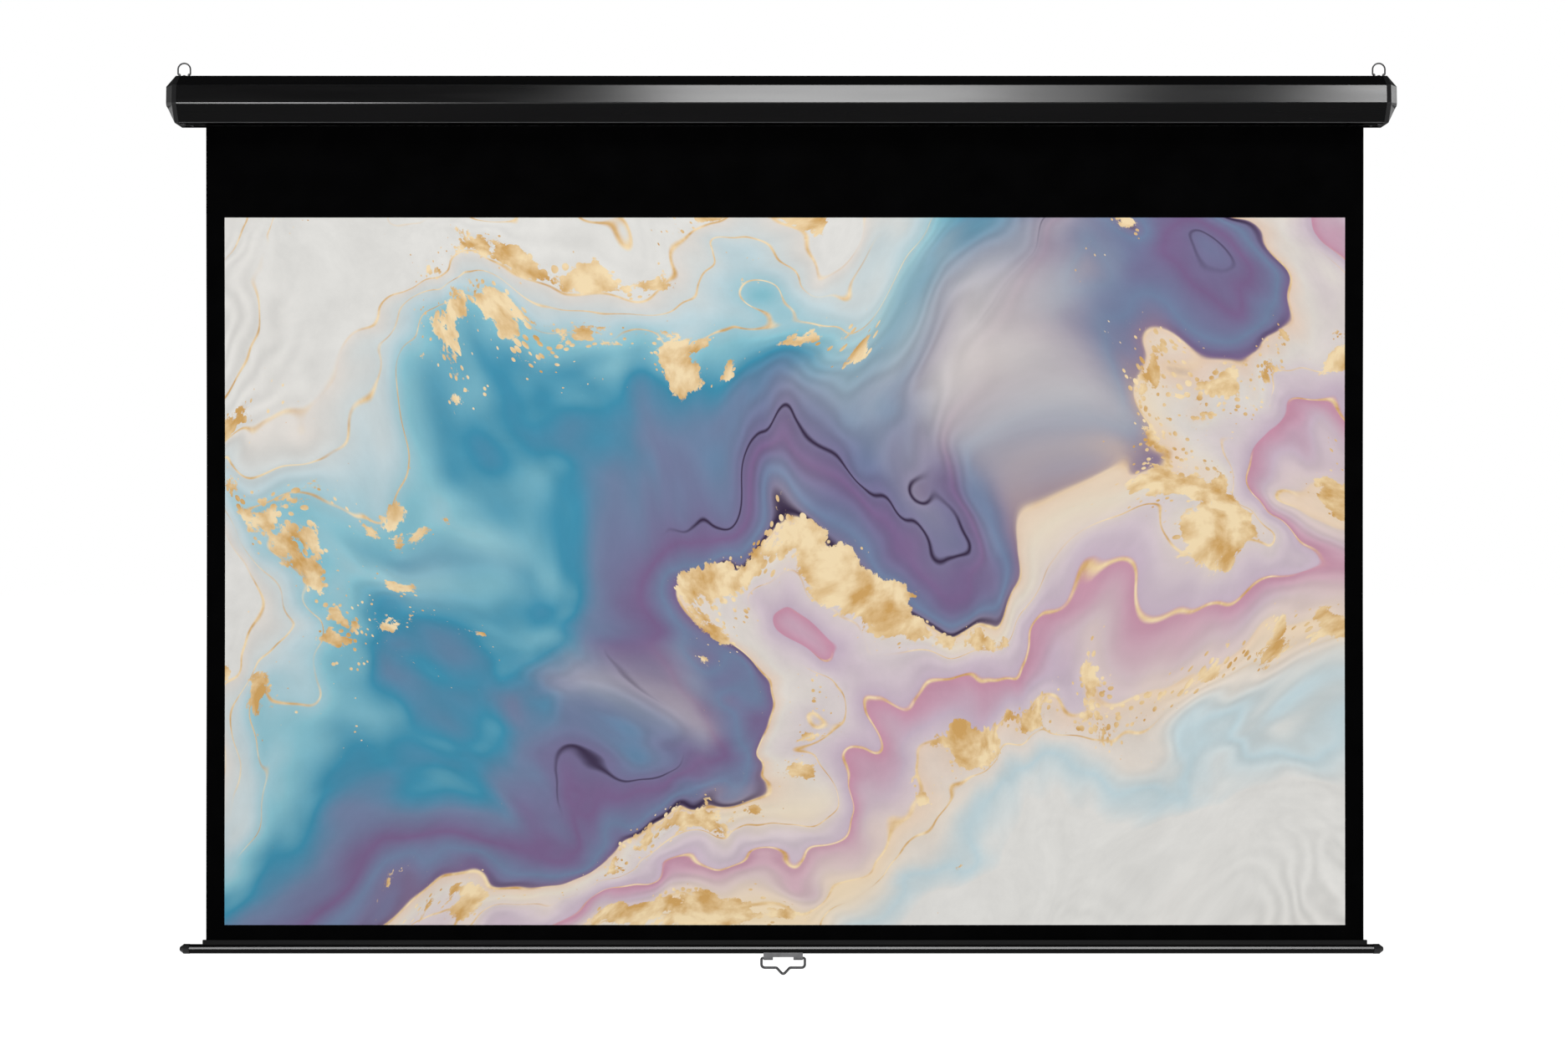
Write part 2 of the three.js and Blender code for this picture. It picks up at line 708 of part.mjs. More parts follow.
// A roller plug on the right end: flange, rim and web around a hub with a bore
function rollerPlug(boreRadius) {
  const inner = tubeRight - plugDepth;
  const body = plugBodyRadius;
  const flangeStart = tubeRight + seat;
  const profile = [
    [boreRadius, inner],
    [plugHubRadius, inner],
    [plugHubRadius, tubeRight - plugWeb],
    [body - plugRim, tubeRight - plugWeb],
    [body - plugRim, inner],
    [body, inner],
    [body, flangeStart],
    [plugFlangeRadius, flangeStart],
    [plugFlangeRadius, rightFlangeFace],
    [boreRadius, rightFlangeFace],
    [boreRadius, inner],
  ];
  const plug = solid(turnedX(profile, tubeSides));
  return joined([plug, ...plugKeys(inner, flangeStart, body)]);
}

// Four keys fill the room between the plug's body and the tube's bore
function plugKeys(from, to, body) {
  const reach = tubeRadius - tubeWall - seat;
  const half = grooveWidth / 2;
  const places = [0, 1, 2, 3].map((k) => quarterTurn * k + quarterTurn / 2);
  return places.map((angle) => {
    const corners = [point(body - plugRim / 2, -half), point(reach, -half), point(reach, half),
      point(body - plugRim / 2, half)];
    return prism(corners.map((at) => at.rotateAround(point(0, 0), angle)), from, to);
  });
}

function leftPlug() {
  const shift = tubeLeft + tubeRight;
  const plug = mirrored(rollerPlug(spindleRadius + seat).translate([-shift, 0, 0]));
  const pinHoles = [-1, 1].map((side) => rodX(pawlPinRadius + seat, leftFlangeFace - overrun,
    tubeLeft - seat + plugWeb / 2, pinSides, 0, side * pawlPivotRadius));
  return cutFrom(plug, pinHoles);
}

function spindle() {
  const end = -bracketOuter - tangReach;
  const shaft = rodX(spindleRadius, end, end + spindleLength, shaftSides);
  const shoulder = -bracketInner + turnGap;
  const reach = spindleRadius + overrun;
  const flats = [-1, 1].map((side) =>
    block([end - overrun, shoulder], [-reach, reach], [side * tangThickness / 2, side * reach]));
  return cutFrom(shaft, flats);
}

// A notch that the engaged pawl's nose drops into, facing the pivot at the top
function hubNotch(from, to) {
  const face = pawlReach + turnGap;
  const floor = pawlNose / 2 + turnGap;
  const corners = [point(-hubRadius, floor), point(-hubRadius, -hubRadius), point(face, -hubRadius),
    point(face, floor)];
  const placed = corners.map((at) =>
    at.rotateAround(point(0, 0), pawlEngaged).add(point(0, pawlPivotRadius)));
  return prism(placed, from, to);
}

function ratchetHub() {
  const inner = leftFlangeFace - turnGap;
  const teeth = inner - pawlThickness - turnGap;
  const bore = spindleRadius + seat;
  const hub = ringX(hubRadius, bore, teeth, inner, tubeSides)
    .add(ringX(hubFlangeRadius, bore, teeth - hubFlange, teeth, tubeSides));
  const notch = hubNotch(teeth, inner + overrun);
  return cutFrom(hub, [notch, turnedAbout(notch)]);
}

// The same body, half a turn further round the X axis
function turnedAbout(body) {
  const { vertProperties, triVerts } = body.getMesh();
  const geometry = new THREE.BufferGeometry();
  geometry.setAttribute("position", new THREE.BufferAttribute(vertProperties, 3));
  geometry.setIndex(new THREE.BufferAttribute(triVerts, 1));
  return solid(geometry.rotateX(Math.PI));
}

// A lock pawl, drawn around its pivot with its nose towards +Y
function pawl() {
  const from = leftFlangeFace - turnGap - pawlThickness;
  const under = Math.asin(pawlNose / 2 / pawlBossRadius);
  const over = 2 * Math.PI - Math.asin(pawlBack / pawlBossRadius);
  const boss = Array.from({ length: pinSides + 1 }, (_, k) => {
    const angle = under + ((over - under) * k) / pinSides;
    return point(pawlBossRadius * Math.cos(angle), pawlBossRadius * Math.sin(angle));
  });
  const nose = [point(pawlReach, -pawlNose / 2), point(pawlReach, pawlNose / 2)];
  const bore = rodX(pawlPinRadius + seat, from - overrun, from + pawlThickness + overrun, pinSides);
  return prism([...boss, ...nose], from, from + pawlThickness).subtract(bore);
}

function pawlPin() {
  const face = leftFlangeFace - turnGap - pawlThickness - seat;
  const profile = [
    [0, face - pawlPinHead],
    [pawlPinHeadRadius, face - pawlPinHead],
    [pawlPinHeadRadius, face],
    [pawlPinRadius, face],
    [pawlPinRadius, tubeLeft],
    [0, tubeLeft],
  ];
  return solid(turnedX(profile, pinSides));
}

// The spring's wire winds from the left plug to the collar on the spindle
function torsionSpring() {
  const start = tubeLeft + plugDepth + seat + springWireRadius;
  const end = collarFace() - seat - springWireRadius;
  const count = springTurns * springSteps;
  const path = Array.from({ length: count + 1 }, (_, k) => {
    const angle = (2 * Math.PI * k) / springSteps;
    const x = start + ((end - start) * k) / count;
    return new THREE.Vector3(x, springRadius * Math.cos(angle), springRadius * Math.sin(angle));
  });
  const apart = path.slice(springSteps).map((at, k) => at.distanceTo(path[k]) - 2 * springWireRadius);
  console.log(`torsion spring: least gap between its curls ${Math.min(...apart).toFixed(2)} mm`);
  return wire(path, springWireRadius, springSides);
}

const collarFace = () => spindleLength - bracketOuter - tangReach - collarWidth;

const springCollar = () => ringX(grooveInside - turnGap, spindleRadius + seat, collarFace(),
  collarFace() + collarWidth, tubeSides);

function idlerPin() {
  const head = tubeRight - plugDepth - seat;
  const profile = [
    [0, head - idlerHead],
    [idlerHeadRadius, head - idlerHead],
    [idlerHeadRadius, head],
    [idlerRadius, head],
    [idlerRadius, bracketOuter + seat],
    [0, bracketOuter + seat],
  ];
  return solid(turnedX(profile, shaftSides));
}

function bearingBush() {
  const shoulderEnd = bracketInner - seat;
  const bore = idlerRadius + seat;
  return ringX(bushShoulderRadius, bore, shoulderEnd - bushShoulder, shoulderEnd, shaftSides)
    .add(ringX(bushRadius, bore, shoulderEnd, bracketOuter, shaftSides));
}

// Fabric

function screenFabric() {
  const hemRing = ringX(hemLoopRadius, hemLoopRadius - sheetThickness, fabricLeft, fabricRight,
    pinSides, sheetMiddle, hemHeight);
  const foot = hemHeight + hemLoopRadius - sheetThickness / 2;
  return block([fabricLeft, fabricRight], [sheetFront, sheetBack], [foot, axisHeight - seat]).add(hemRing);
}

function viewSurface() {
  return block([fabricLeft + sideBorder, fabricRight - sideBorder],
    [sheetFront - viewLayer, sheetFront], [viewBottom, viewTop]);
}

// Weight bar and pull handle

function weightBar() {
  const neck = block([fabricLeft - neckMargin, fabricRight + neckMargin],
    [sheetMiddle - neckWidth / 2, sheetMiddle + neckWidth / 2], [barHeight, neckTop]);
  const tube = rodX(barRadius, -barEnd, barEnd, tubeSides, sheetMiddle, barHeight);
  const bore = rodX(barBore, -barEnd - overrun, barEnd + overrun, tubeSides, sheetMiddle, barHeight);
  const slot = block([-barEnd - overrun, barEnd + overrun],
    [sheetMiddle - neckSlot / 2, sheetMiddle + neckSlot / 2], [barHeight, neckTop + overrun]);
  const holes = [-1, 1].map((side) => rodZ(handleRivetRadius + seat,
    barHeight - barRadius - overrun, barHeight,
    screwSides, handleShift + side * handleRivetSpacing / 2, sheetMiddle));
  return cutFrom(tube.add(neck), [bore, slot, ...holes]);
}

function barPlug() {
  const spigot = barBore - seat;
  const collar = barRadius + barPlugProud;
  const profile = [
    [0, barEnd - barPlugSpigot],
    [spigot, barEnd - barPlugSpigot],
    [spigot, barEnd + seat],
    [collar, barEnd + seat],
    [collar, barEnd + barPlugCollar],
    [collar - barWall, barEnd + barPlugCollar + barWall],
    [barPlugNoseRadius, barEnd + barPlugLength],
    [0, barEnd + barPlugLength],
  ];
  return solid(turnedX(profile, tubeSides).translate(0, sheetMiddle, barHeight));
}

const hemRod = () => rodX(hemRodRadius, fabricLeft, fabricRight, pinSides, sheetMiddle, hemHeight);

// The bracket is a channel under the bar, with a block and a knuckle at each end
function handleBracket() {
  const [half, hug] = [bracketWidth / 2, barRadius + seat];
  const open = Math.asin(half / hug);
  const arc = Array.from({ length: 2 * bendSteps + 1 }, (_, k) => {
    const angle = -quarterTurn - open + (open * k) / bendSteps;
    return point(hug * Math.cos(angle), hug * Math.sin(angle));
  });
  const web = -hug - bracketWeb;
  const side = half - bracketSide;
  const outline = [...arc, point(half, -bracketDepth), point(side, -bracketDepth), point(side, web),
    point(-side, web), point(-side, -bracketDepth), point(-half, -bracketDepth)];
  const reach = bracketLength / 2;
  const channel = prism(outline, -reach, reach);
  const knuckles = [[-reach, knuckleLength - reach], [reach - knuckleLength, reach]].map(([from, to]) =>
    block([from, to], [-knuckleRadius, knuckleRadius], [-handlePivotDrop, web + bracketWeb / 2])
      .add(rodX(knuckleRadius, from, to, shaftSides, 0, -handlePivotDrop)));
  const bore = rodX(handleWireRadius + seat, -reach - overrun, reach + overrun,
    shaftSides, 0, -handlePivotDrop);
  const holes = [-1, 1].map((end) => rodZ(handleRivetRadius + seat, -bracketDepth, 0, screwSides,
    end * handleRivetSpacing / 2, 0));
  return cutFrom(joined([channel, ...knuckles]), [bore, ...holes]);
}

function handleRivet() {
  const grip = bracketWeb + barWall + 3 * seat;
  const profile = fastener(handleRivetHeadRadius, handleRivetHead, handleRivetRadius, grip);
  return solid(turnedZ(profile, screwSides).translate(0, 0, -barRadius - bracketWeb - 2 * seat));
}

function pullHandle() {
  const side = bracketLength / 2 + handleOverhang;
  const half = rounded([
    point(bracketLength / 2 - handleTail, 0),
    point(side, 0),
    point(side, -handleDrop),
    point(handleDipHalfWidth, -handleDrop),
    point(0, -handleDrop - handleDip),
    point(-handleDipHalfWidth, -handleDrop),
  ], [0, handleTopBend, handleBend, handleDipBend, handleDipBend, 0], bendSteps, false);
  const pastMiddle = bendSteps / 2 + 2;
  return wire(bowPath(half.slice(0, -pastMiddle)), handleWireRadius, wireSides);
}

// The assembly, one group for each body that moves

function group(place, pieces) {
  const body = new THREE.Group();
  body.position.set(...place);
  body.add(...pieces.flat());
  return body;
}

function fixedBody() {
  const loopParts = [-1, 1].map((side) => group([side * loopMiddle, -loopDepth, pivotHeight], [
    piece(side < 0 ? "left_loop_saddle" : "right_loop_saddle", saddle(), zincSteel()),
    piece(side < 0 ? "left_saddle_rivet" : "right_saddle_rivet", saddleRivet(), darkSteel()),
  ]));
  const onAxis = group([0, -axisDepth, axisHeight], [
    piece("spindle", spindle(), zincSteel()),
    piece("ratchet_hub", ratchetHub(), zincSteel()),
    piece("spring_collar", springCollar(), greyNylon()),
    piece("right_bearing_bush", bearingBush(), greyNylon()),
  ]);
  return group([0, 0, 0], [
    piece("case_housing", caseHousing(), caseCoat()),
    pair("end_cap", endCap(), blackPlastic),
    pair("keyhole_insert", keyholeInsert(), zincSteel),
    pair("case_screw", caseScrew(), blackScrew),
    pair("rear_bracket_screw", bracketScrew(1), darkSteel),
    pair("front_bracket_screw", bracketScrew(-1), darkSteel),
    piece("right_end_bracket", rightBracket(), zincSteel()),
    piece("left_end_bracket", leftBracket(), zincSteel()),
    piece("screen_fabric", screenFabric(), blackFabric()),
    piece("view_surface", viewSurface(), whiteScreen()),
    onAxis,
    loopParts,
  ]);
}

function rollerBody() {
  const pins = [1, -1].map((side) => group([0, 0, side * pawlPivotRadius], [
    piece(side > 0 ? "upper_pawl_pin" : "lower_pawl_pin", pawlPin(), darkSteel()),
  ]));
  return group([0, -axisDepth, axisHeight], [
    piece("roller_tube", rollerTube(), zincSteel()),
    piece("fabric_roll", fabricRoll(), blackFabric()),
    piece("fabric_spline", fabricSpline(), greyNylon()),
    piece("left_roller_plug", leftPlug(), greyNylon()),
    piece("right_roller_plug", rollerPlug(idlerRadius + seat), greyNylon()),
    piece("idler_pin", idlerPin(), zincSteel()),
    piece("torsion_spring", torsionSpring(), springSteel()),
    pins,
  ]);
}

function pawlBodies() {
  const upper = piece("upper_pawl", pawl(), darkSteel());
  upper.position.set(0, 0, pawlPivotRadius);
  upper.rotation.x = pawlEngaged - pawlLift;
  const lower = piece("lower_pawl", pawl(), darkSteel());
  lower.position.set(0, 0, -pawlPivotRadius);
  lower.rotation.x = pawlEngaged - pawlLift + Math.PI;
  return group([0, -axisDepth, axisHeight], [upper, lower]);
}

function barBody() {
  const underBar = group([handleShift, sheetMiddle, barHeight], [
    piece("handle_bracket", handleBracket(), darkSteel()),
    group([-handleRivetSpacing / 2, 0, 0], [piece("left_handle_rivet", handleRivet(), zincSteel())]),
    group([handleRivetSpacing / 2, 0, 0], [piece("right_handle_rivet", handleRivet(), zincSteel())]),
  ]);
  return group([0, 0, 0], [
    piece("weight_bar", weightBar(), caseCoat()),
    piece("hem_rod", hemRod(), greyNylon()),
    pair("bar_plug", barPlug(), blackPlastic),
    underBar,
  ]);
}

const handleBody = () => group([handleShift, sheetMiddle, handlePivotHeight],
  [piece("pull_handle", pullHandle(), darkSteel())]);

const loopBody = (side, name) => group([side * loopMiddle, -loopDepth, pivotHeight],
  [piece(name, hangingLoop(), darkSteel())]);

export default group([0, 0, 0], [
  fixedBody(),
  rollerBody(),
  pawlBodies(),
  barBody(),
  handleBody(),
  loopBody(-1, "left_hanging_loop"),
  loopBody(1, "right_hanging_loop"),
]);
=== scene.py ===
# A pull down projector screen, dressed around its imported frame. Metres, +Z up, facing -Y.
import json
import math

import bmesh
import bpy
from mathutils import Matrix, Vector


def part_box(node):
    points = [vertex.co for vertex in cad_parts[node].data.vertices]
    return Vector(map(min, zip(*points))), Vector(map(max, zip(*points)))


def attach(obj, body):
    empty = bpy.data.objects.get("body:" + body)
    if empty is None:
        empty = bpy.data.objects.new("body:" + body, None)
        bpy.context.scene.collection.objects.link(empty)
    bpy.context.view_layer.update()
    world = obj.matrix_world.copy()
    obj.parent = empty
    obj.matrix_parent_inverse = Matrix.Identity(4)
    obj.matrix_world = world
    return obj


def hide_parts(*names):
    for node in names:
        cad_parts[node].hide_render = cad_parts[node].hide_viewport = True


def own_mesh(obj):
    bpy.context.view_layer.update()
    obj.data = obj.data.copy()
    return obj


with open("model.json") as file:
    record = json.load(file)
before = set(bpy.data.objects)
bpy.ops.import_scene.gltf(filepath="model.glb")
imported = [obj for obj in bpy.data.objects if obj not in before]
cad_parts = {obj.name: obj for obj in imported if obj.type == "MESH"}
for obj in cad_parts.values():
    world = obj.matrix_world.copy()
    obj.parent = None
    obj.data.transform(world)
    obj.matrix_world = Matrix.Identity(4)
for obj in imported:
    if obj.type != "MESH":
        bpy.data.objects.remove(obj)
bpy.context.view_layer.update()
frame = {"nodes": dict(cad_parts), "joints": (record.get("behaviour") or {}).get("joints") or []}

MM = 0.001

# Camera
IMAGE_WIDTH = 1875
METRES_PER_PIXEL = 1.5105 * MM  # at the fabric
CAMERA_AWAY = 4600 * MM
CAMERA_X = 4.5 * MM
CAMERA_Z = -758.8 * MM
SENSOR = 36

# Stage
FLOOR_Z = -2.05
FLOOR_REACH = 40
FLOOR_COLOUR = (0.82, 0.82, 0.82)
FLOOR_GLOW = 0.7  # of white, for the rays that show the background
CARD_Y = 0.6
CARD_HALF = 1.5
CARD_FOOT = -0.4
CARD_TOP = -0.055
CARD_COLOUR = (0.02, 0.02, 0.02)
MATTE = 0.9
WORLD_LEVEL = 0.42
CEILING_RISE = (0.1, 0.28)  # heights of a direction, between which white walls give way to a dark ceiling
CEILING_LEVEL = 0.05

# Fabric
CLOTH_THICKNESS = 0.45 * MM
VIEW_THICKNESS = 0.15 * MM
WAIST = 1.3 * MM  # how far each edge draws in at half height
EDGE_CURL = 0.9 * MM
CURL_POWER = 14  # the greater, the closer to its edges the cloth curls
CLOTH_COLUMNS = 120
CLOTH_ROWS = 90
TUCK = 0.05 * MM  # how far a layer sinks into the one behind it
HEM_SLACK = 0.3 * MM  # between the hem rod and its loop
HEM_LEAD = 4 * MM  # height over the loop where the border bends towards it
HEM_OPENING = 2.6  # the loop's open part, in angles that half the cloth's thickness takes up
HEM_STEPS = 40
STRIP_COLUMNS = 8

# Turns of cloth on the roller
WIND_OUTER = 21.9625 * MM
WIND_PITCH = 1.05 * MM
WIND_THICKNESS = 0.6 * MM
WIND_TURNS = 2.25
WIND_STEPS = 120
WIND_TAIL_Y = 1.7 * MM
WIND_TAIL_Z = 15.4 * MM
WIND_TAIL_STEPS = 4

# Painted highlights along the case's edges: a lighter colour on the lower front fold and the slot's front
# lip stands in for the light they catch
CASE_FOLD = (-61.9 * MM, -42.9 * MM)
SLOT_LIP = (-24.96 * MM, -43 * MM)
HIGHLIGHT_CORE = 1.0 * MM
HIGHLIGHT_REACH = 1.7 * MM
# colour of the painted highlight, lighter than the coat
FOLD_HIGHLIGHT_COLOUR = (0.10, 0.10, 0.103)

# Wires
WIRE_SIDES = 24
BEND_STEPS = 10
NEAR_MIDDLE = 0.01 * MM

# Pull handle, from its pivot
HANDLE_RADIUS = 2.3 * MM
HANDLE_TAIL = 22.5 * MM
HANDLE_SIDE = 39.2 * MM
HANDLE_DROP = 17.5 * MM
HANDLE_DIP = 13 * MM
HANDLE_DIP_HALF = 12 * MM
HANDLE_BENDS = [3.3 * MM, 6 * MM, 4.5 * MM, 4.5 * MM]

# Hanging loops, from their pivots
LOOP_RADIUS = 1.4 * MM
LOOP_TAIL = 6.5 * MM
LOOP_HALF = 11.1 * MM
LOOP_LEG = 9.7 * MM
LOOP_BEND = 2.2 * MM
LOOP_ARC_STEPS = 16

# Case screws
SCREW_HEAD = 4.5 * MM
SCREW_RISE = 2.2 * MM
SCREW_SHANK = 1.8 * MM
SCREW_LENGTH = 9 * MM
SCREW_SIDES = 64
SCREW_RINGS = 22
SCREW_UNDERSIDE = 0.97  # of the head's radius
SCREW_RIM = 0.12  # share of the rise that the rim of the dome has
SCREW_ROUNDNESS = 2.2
RECESS_HALF = 0.62 * MM
RECESS_REACH = 2.3 * MM
RECESS_DEPTH = 1.3 * MM
RECESS_SIDE_SLOPE = 0.25 * MM
RECESS_END_SLOPE = 0.7 * MM

# Shading of the frame's own nodes
WELD = 0.002 * MM
SOFT_ANGLE = math.radians(32)

# Finishes: where nearly all of a noise lies, and how often its marks come along each axis
NOISE_LOW = 0.25
NOISE_HIGH = 0.75
WIPED_ALONG_X = (2.5, 45, 45)
HIGHLIGHT_BREAKS_ALONG_X = (9, 60, 60)
DRAWN_ALONG_X = (6, 220, 220)
DRAWN_ALONG_Y = (200, 20, 200)
EVEN_FINE = (200, 200, 200)
EVEN_COARSE = (60, 60, 60)

CREAM = (0.76, 0.71, 0.66)
WHITE = (1, 1, 1)

nodes = frame["nodes"]
joints = {joint["name"]: joint for joint in frame["joints"]}


# Node trees

def put(tree, socket, value):
    """Links a socket to another one, or sets its value."""
    if isinstance(value, bpy.types.NodeSocket):
        tree.links.new(value, socket)
    elif socket.type == "RGBA" and len(value) == 3:
        socket.default_value = (*value, 1)
    else:
        socket.default_value = value


def add(tree, kind, inputs=(), **settings):
    node = tree.nodes.new(kind)
    for name, value in settings.items():
        setattr(node, name, value)
    for key, value in dict(inputs).items():
        put(tree, node.inputs[key], value)
    return node


def maths(tree, operation, *values, clamp=False):
    node = add(tree, "ShaderNodeMath", dict(enumerate(values)), operation=operation, use_clamp=clamp)
    return node.outputs[0]


def vectors(tree, operation, *values):
    return add(tree, "ShaderNodeVectorMath", dict(enumerate(values)), operation=operation).outputs[0]


def vectors_apart(tree, first, second):
    return add(tree, "ShaderNodeVectorMath", {0: first, 1: second}, operation="DISTANCE").outputs["Value"]


def scaled(tree, vector, scale):
    return add(tree, "ShaderNodeVectorMath", {0: vector, "Scale": scale}, operation="SCALE").outputs[0]


def stretched(tree, vector, by_axis):
    return vectors(tree, "MULTIPLY", vector, by_axis)


def mix(tree, share, first, second, how="MIX"):
    inputs = {0: share, 6: first, 7: second}
    return add(tree, "ShaderNodeMix", inputs, data_type="RGBA", blend_type=how).outputs[2]


def between(tree, value, low, high):
    """0 at low, 1 at high, and smooth between them."""
    inputs = {"Value": value, "From Min": low, "From Max": high}
    return add(tree, "ShaderNodeMapRange", inputs, interpolation_type="SMOOTHSTEP").outputs[0]


def noise(tree, vector, scale, detail=4.0, roughness=0.5, output="Fac"):
    inputs = {"Vector": vector, "Scale": scale, "Detail": detail, "Roughness": roughness}
    return add(tree, "ShaderNodeTexNoise", inputs).outputs[output]


def ramp(tree, value, stops):
    node = add(tree, "ShaderNodeValToRGB", {0: value})
    elements = node.color_ramp.elements
    while len(elements) < len(stops):
        elements.new(1.0)
    for element, (place, colour) in zip(elements, stops):
        element.position = place
        element.color = (*colour, 1)
    return node.outputs[0]


def bump(tree, height, strength, distance):
    inputs = {"Height": height, "Strength": strength, "Distance": distance}
    return add(tree, "ShaderNodeBump", inputs).outputs[0]


def place_of(tree, kind="Object"):
    return add(tree, "ShaderNodeTexCoord").outputs[kind]


def new_material(name, colour, roughness, metallic=0.0, specular=0.5):
    material = bpy.data.materials.new(name)
    material.use_nodes = True
    tree = material.node_tree
    shader = tree.nodes["Principled BSDF"]
    settings = {
        "Base Color": colour, "Roughness": roughness, "Metallic": metallic, "Specular IOR Level": specular,
    }
    for socket, value in settings.items():
        put(tree, shader.inputs[socket], value)
    return material, tree, shader


def vary_colour(tree, shader, colour, value, spread):
    """Lets a colour run a little darker and lighter with a noise."""
    darker, lighter = (tuple(c * share for c in colour) for share in (1 - spread, 1 + spread))
    put(tree, shader.inputs["Base Color"], ramp(tree, value, [(NOISE_LOW, darker), (NOISE_HIGH, lighter)]))


def vary_roughness(tree, shader, value, low, high):
    inputs = {"Value": value, "From Min": NOISE_LOW, "From Max": NOISE_HIGH, "To Min": low, "To Max": high}
    put(tree, shader.inputs["Roughness"], add(tree, "ShaderNodeMapRange", inputs).outputs[0])


# Materials

def coated_metal(name, colour, roughness, specular, depth):
    """Satin black coat on sheet metal: a fine orange peel, and faint wiping marks along it."""
    material, tree, shader = new_material(name, colour, roughness, specular=specular)
    place = place_of(tree)
    peel = noise(tree, place, scale=700, detail=3)
    wiped = noise(tree, stretched(tree, place, WIPED_ALONG_X), scale=1, detail=5)
    vary_colour(tree, shader, colour, wiped, spread=0.2)
    vary_roughness(tree, shader, wiped, low=roughness * 0.85, high=roughness * 1.15)
    put(tree, shader.inputs["Normal"], bump(tree, peel, strength=0.3, distance=depth))
    return material


def paint_fold_highlights(material, edges):
    """Paints a highlight along edges that run in X, given by their y and z: a lighter, broken line in the
    coat stands in for the light these edges catch.
    """
    tree = material.node_tree
    shader = tree.nodes["Principled BSDF"]
    coat = shader.inputs["Base Color"].links[0].from_socket
    place = place_of(tree)
    across = stretched(tree, place, (0, 1, 1))
    away = [vectors_apart(tree, across, (0, y, z)) for y, z in edges]
    nearest = maths(tree, "MINIMUM", *away)
    # breaks along the painted highlight
    highlight_breaks = noise(tree, stretched(tree, place, HIGHLIGHT_BREAKS_ALONG_X), scale=1)
    broken_highlight = maths(tree, "MULTIPLY_ADD", highlight_breaks, 0.6, 0.5)
    painted_highlight = maths(tree, "MULTIPLY", between(tree, nearest, HIGHLIGHT_REACH, HIGHLIGHT_CORE), broken_highlight, clamp=True)
    put(tree, shader.inputs["Base Color"], mix(tree, painted_highlight, coat, FOLD_HIGHLIGHT_COLOUR))


def moulded_plastic(name, colour, roughness, specular):
    """Plastic from an etched mould: small even grain, slightly uneven gloss."""
    material, tree, shader = new_material(name, colour, roughness, specular=specular)
    place = place_of(tree)
    grain = add(tree, "ShaderNodeTexVoronoi", {"Vector": place, "Scale": 1400.0}).outputs["Distance"]
    cloud = noise(tree, place, scale=40)
    vary_colour(tree, shader, colour, cloud, spread=0.15)
    vary_roughness(tree, shader, cloud, low=roughness * 0.9, high=roughness * 1.1)
    put(tree, shader.inputs["Normal"], bump(tree, grain, strength=0.1, distance=0.02 * MM))
    return material


def plated_steel(name, colour, roughness, marks=DRAWN_ALONG_X):
    """Plated steel: draw marks along the piece and a cloudy plating."""
    material, tree, shader = new_material(name, colour, roughness, metallic=1.0)
    place = place_of(tree)
    drawn = noise(tree, stretched(tree, place, marks), scale=1, detail=6, roughness=0.6)
    cloud = noise(tree, place, scale=90, detail=5)
    vary_colour(tree, shader, colour, cloud, spread=0.18)
    vary_roughness(tree, shader, drawn, low=roughness * 0.75, high=roughness * 1.3)
    put(tree, shader.inputs["Normal"], bump(tree, drawn, strength=0.2, distance=0.02 * MM))
    return material


def black_cloth():
    """Matte black backed cloth with a plain weave, from a UV map in metres."""
    colour = (0.0013, 0.0013, 0.0014)
    material, tree, shader = new_material("black_cloth", colour, roughness=0.95, specular=0.01)
    place = place_of(tree, "UV")
    threads = {"Vector": place, "Scale": 520.0}
    waves = [add(tree, "ShaderNodeTexWave", threads, bands_direction=way).outputs["Fac"] for way in "XY"]
    weave = maths(tree, "MULTIPLY", *waves)
    vary_colour(tree, shader, colour, noise(tree, place, scale=14), spread=0.35)
    put(tree, shader.inputs["Normal"], bump(tree, weave, strength=0.3, distance=0.06 * MM))
    return material


# The picture on the view: a generic ink wash of wandering bands, with gold veins and flecks. Its lines
# lie where the bands' field has a level, and reach a width to both sides.

WHITE_POOL = (0.78, 0.77, 0.74)
PEACH = (0.80, 0.62, 0.50)
LILAC = (0.58, 0.46, 0.56)
PINK = (0.60, 0.29, 0.40)
VIOLET = (0.20, 0.13, 0.27)
SLATE_BLUE = (0.17, 0.23, 0.37)
TEAL = (0.05, 0.28, 0.43)
TURQUOISE = (0.26, 0.55, 0.64)
PALE_BLUE = (0.55, 0.68, 0.72)
PALE_LILAC = (0.68, 0.58, 0.63)
GOLD = (0.62, 0.36, 0.12)
PALE_GOLD = (0.90, 0.72, 0.45)
INK_LINE = (0.04, 0.025, 0.06)

WASH_STOPS = [
    (0.00, WHITE_POOL), (0.12, WHITE_POOL), (0.125, CREAM), (0.19, PALE_BLUE), (0.25, TURQUOISE),
    (0.31, TEAL), (0.38, SLATE_BLUE), (0.46, VIOLET), (0.52, SLATE_BLUE), (0.558, VIOLET), (0.562, PEACH),
    (0.60, CREAM), (0.66, PALE_LILAC), (0.70, LILAC), (0.703, PINK), (0.76, LILAC), (0.80, PALE_LILAC),
    (0.805, PEACH), (0.88, CREAM), (0.94, PALE_BLUE), (1.00, WHITE_POOL),
]
BAND_SLOPE = 0.42
BAND_FALL = -0.62
SWIRL = 1.5
RIPPLE_RATE = 210.0
RIPPLE_DEPTH = 0.07
GLOWS = [(0.82, 0.12), (0.60, 0.08)]
GLOW_SHARE = 0.75
OUTLINES = [(0.551, 0.013), (0.43, 0.005)]
VEINS = [
    (-0.04, 0.004), (0.03, 0.003), (0.123, 0.005), (0.165, 0.003), (0.225, 0.003), (0.562, 0.006),
    (0.64, 0.003), (0.704, 0.0045), (0.806, 0.007), (0.86, 0.004),
]
SHORES = [(0.585, 0.10), (0.25, 0.12), (0.82, 0.09), (0.10, 0.06)]


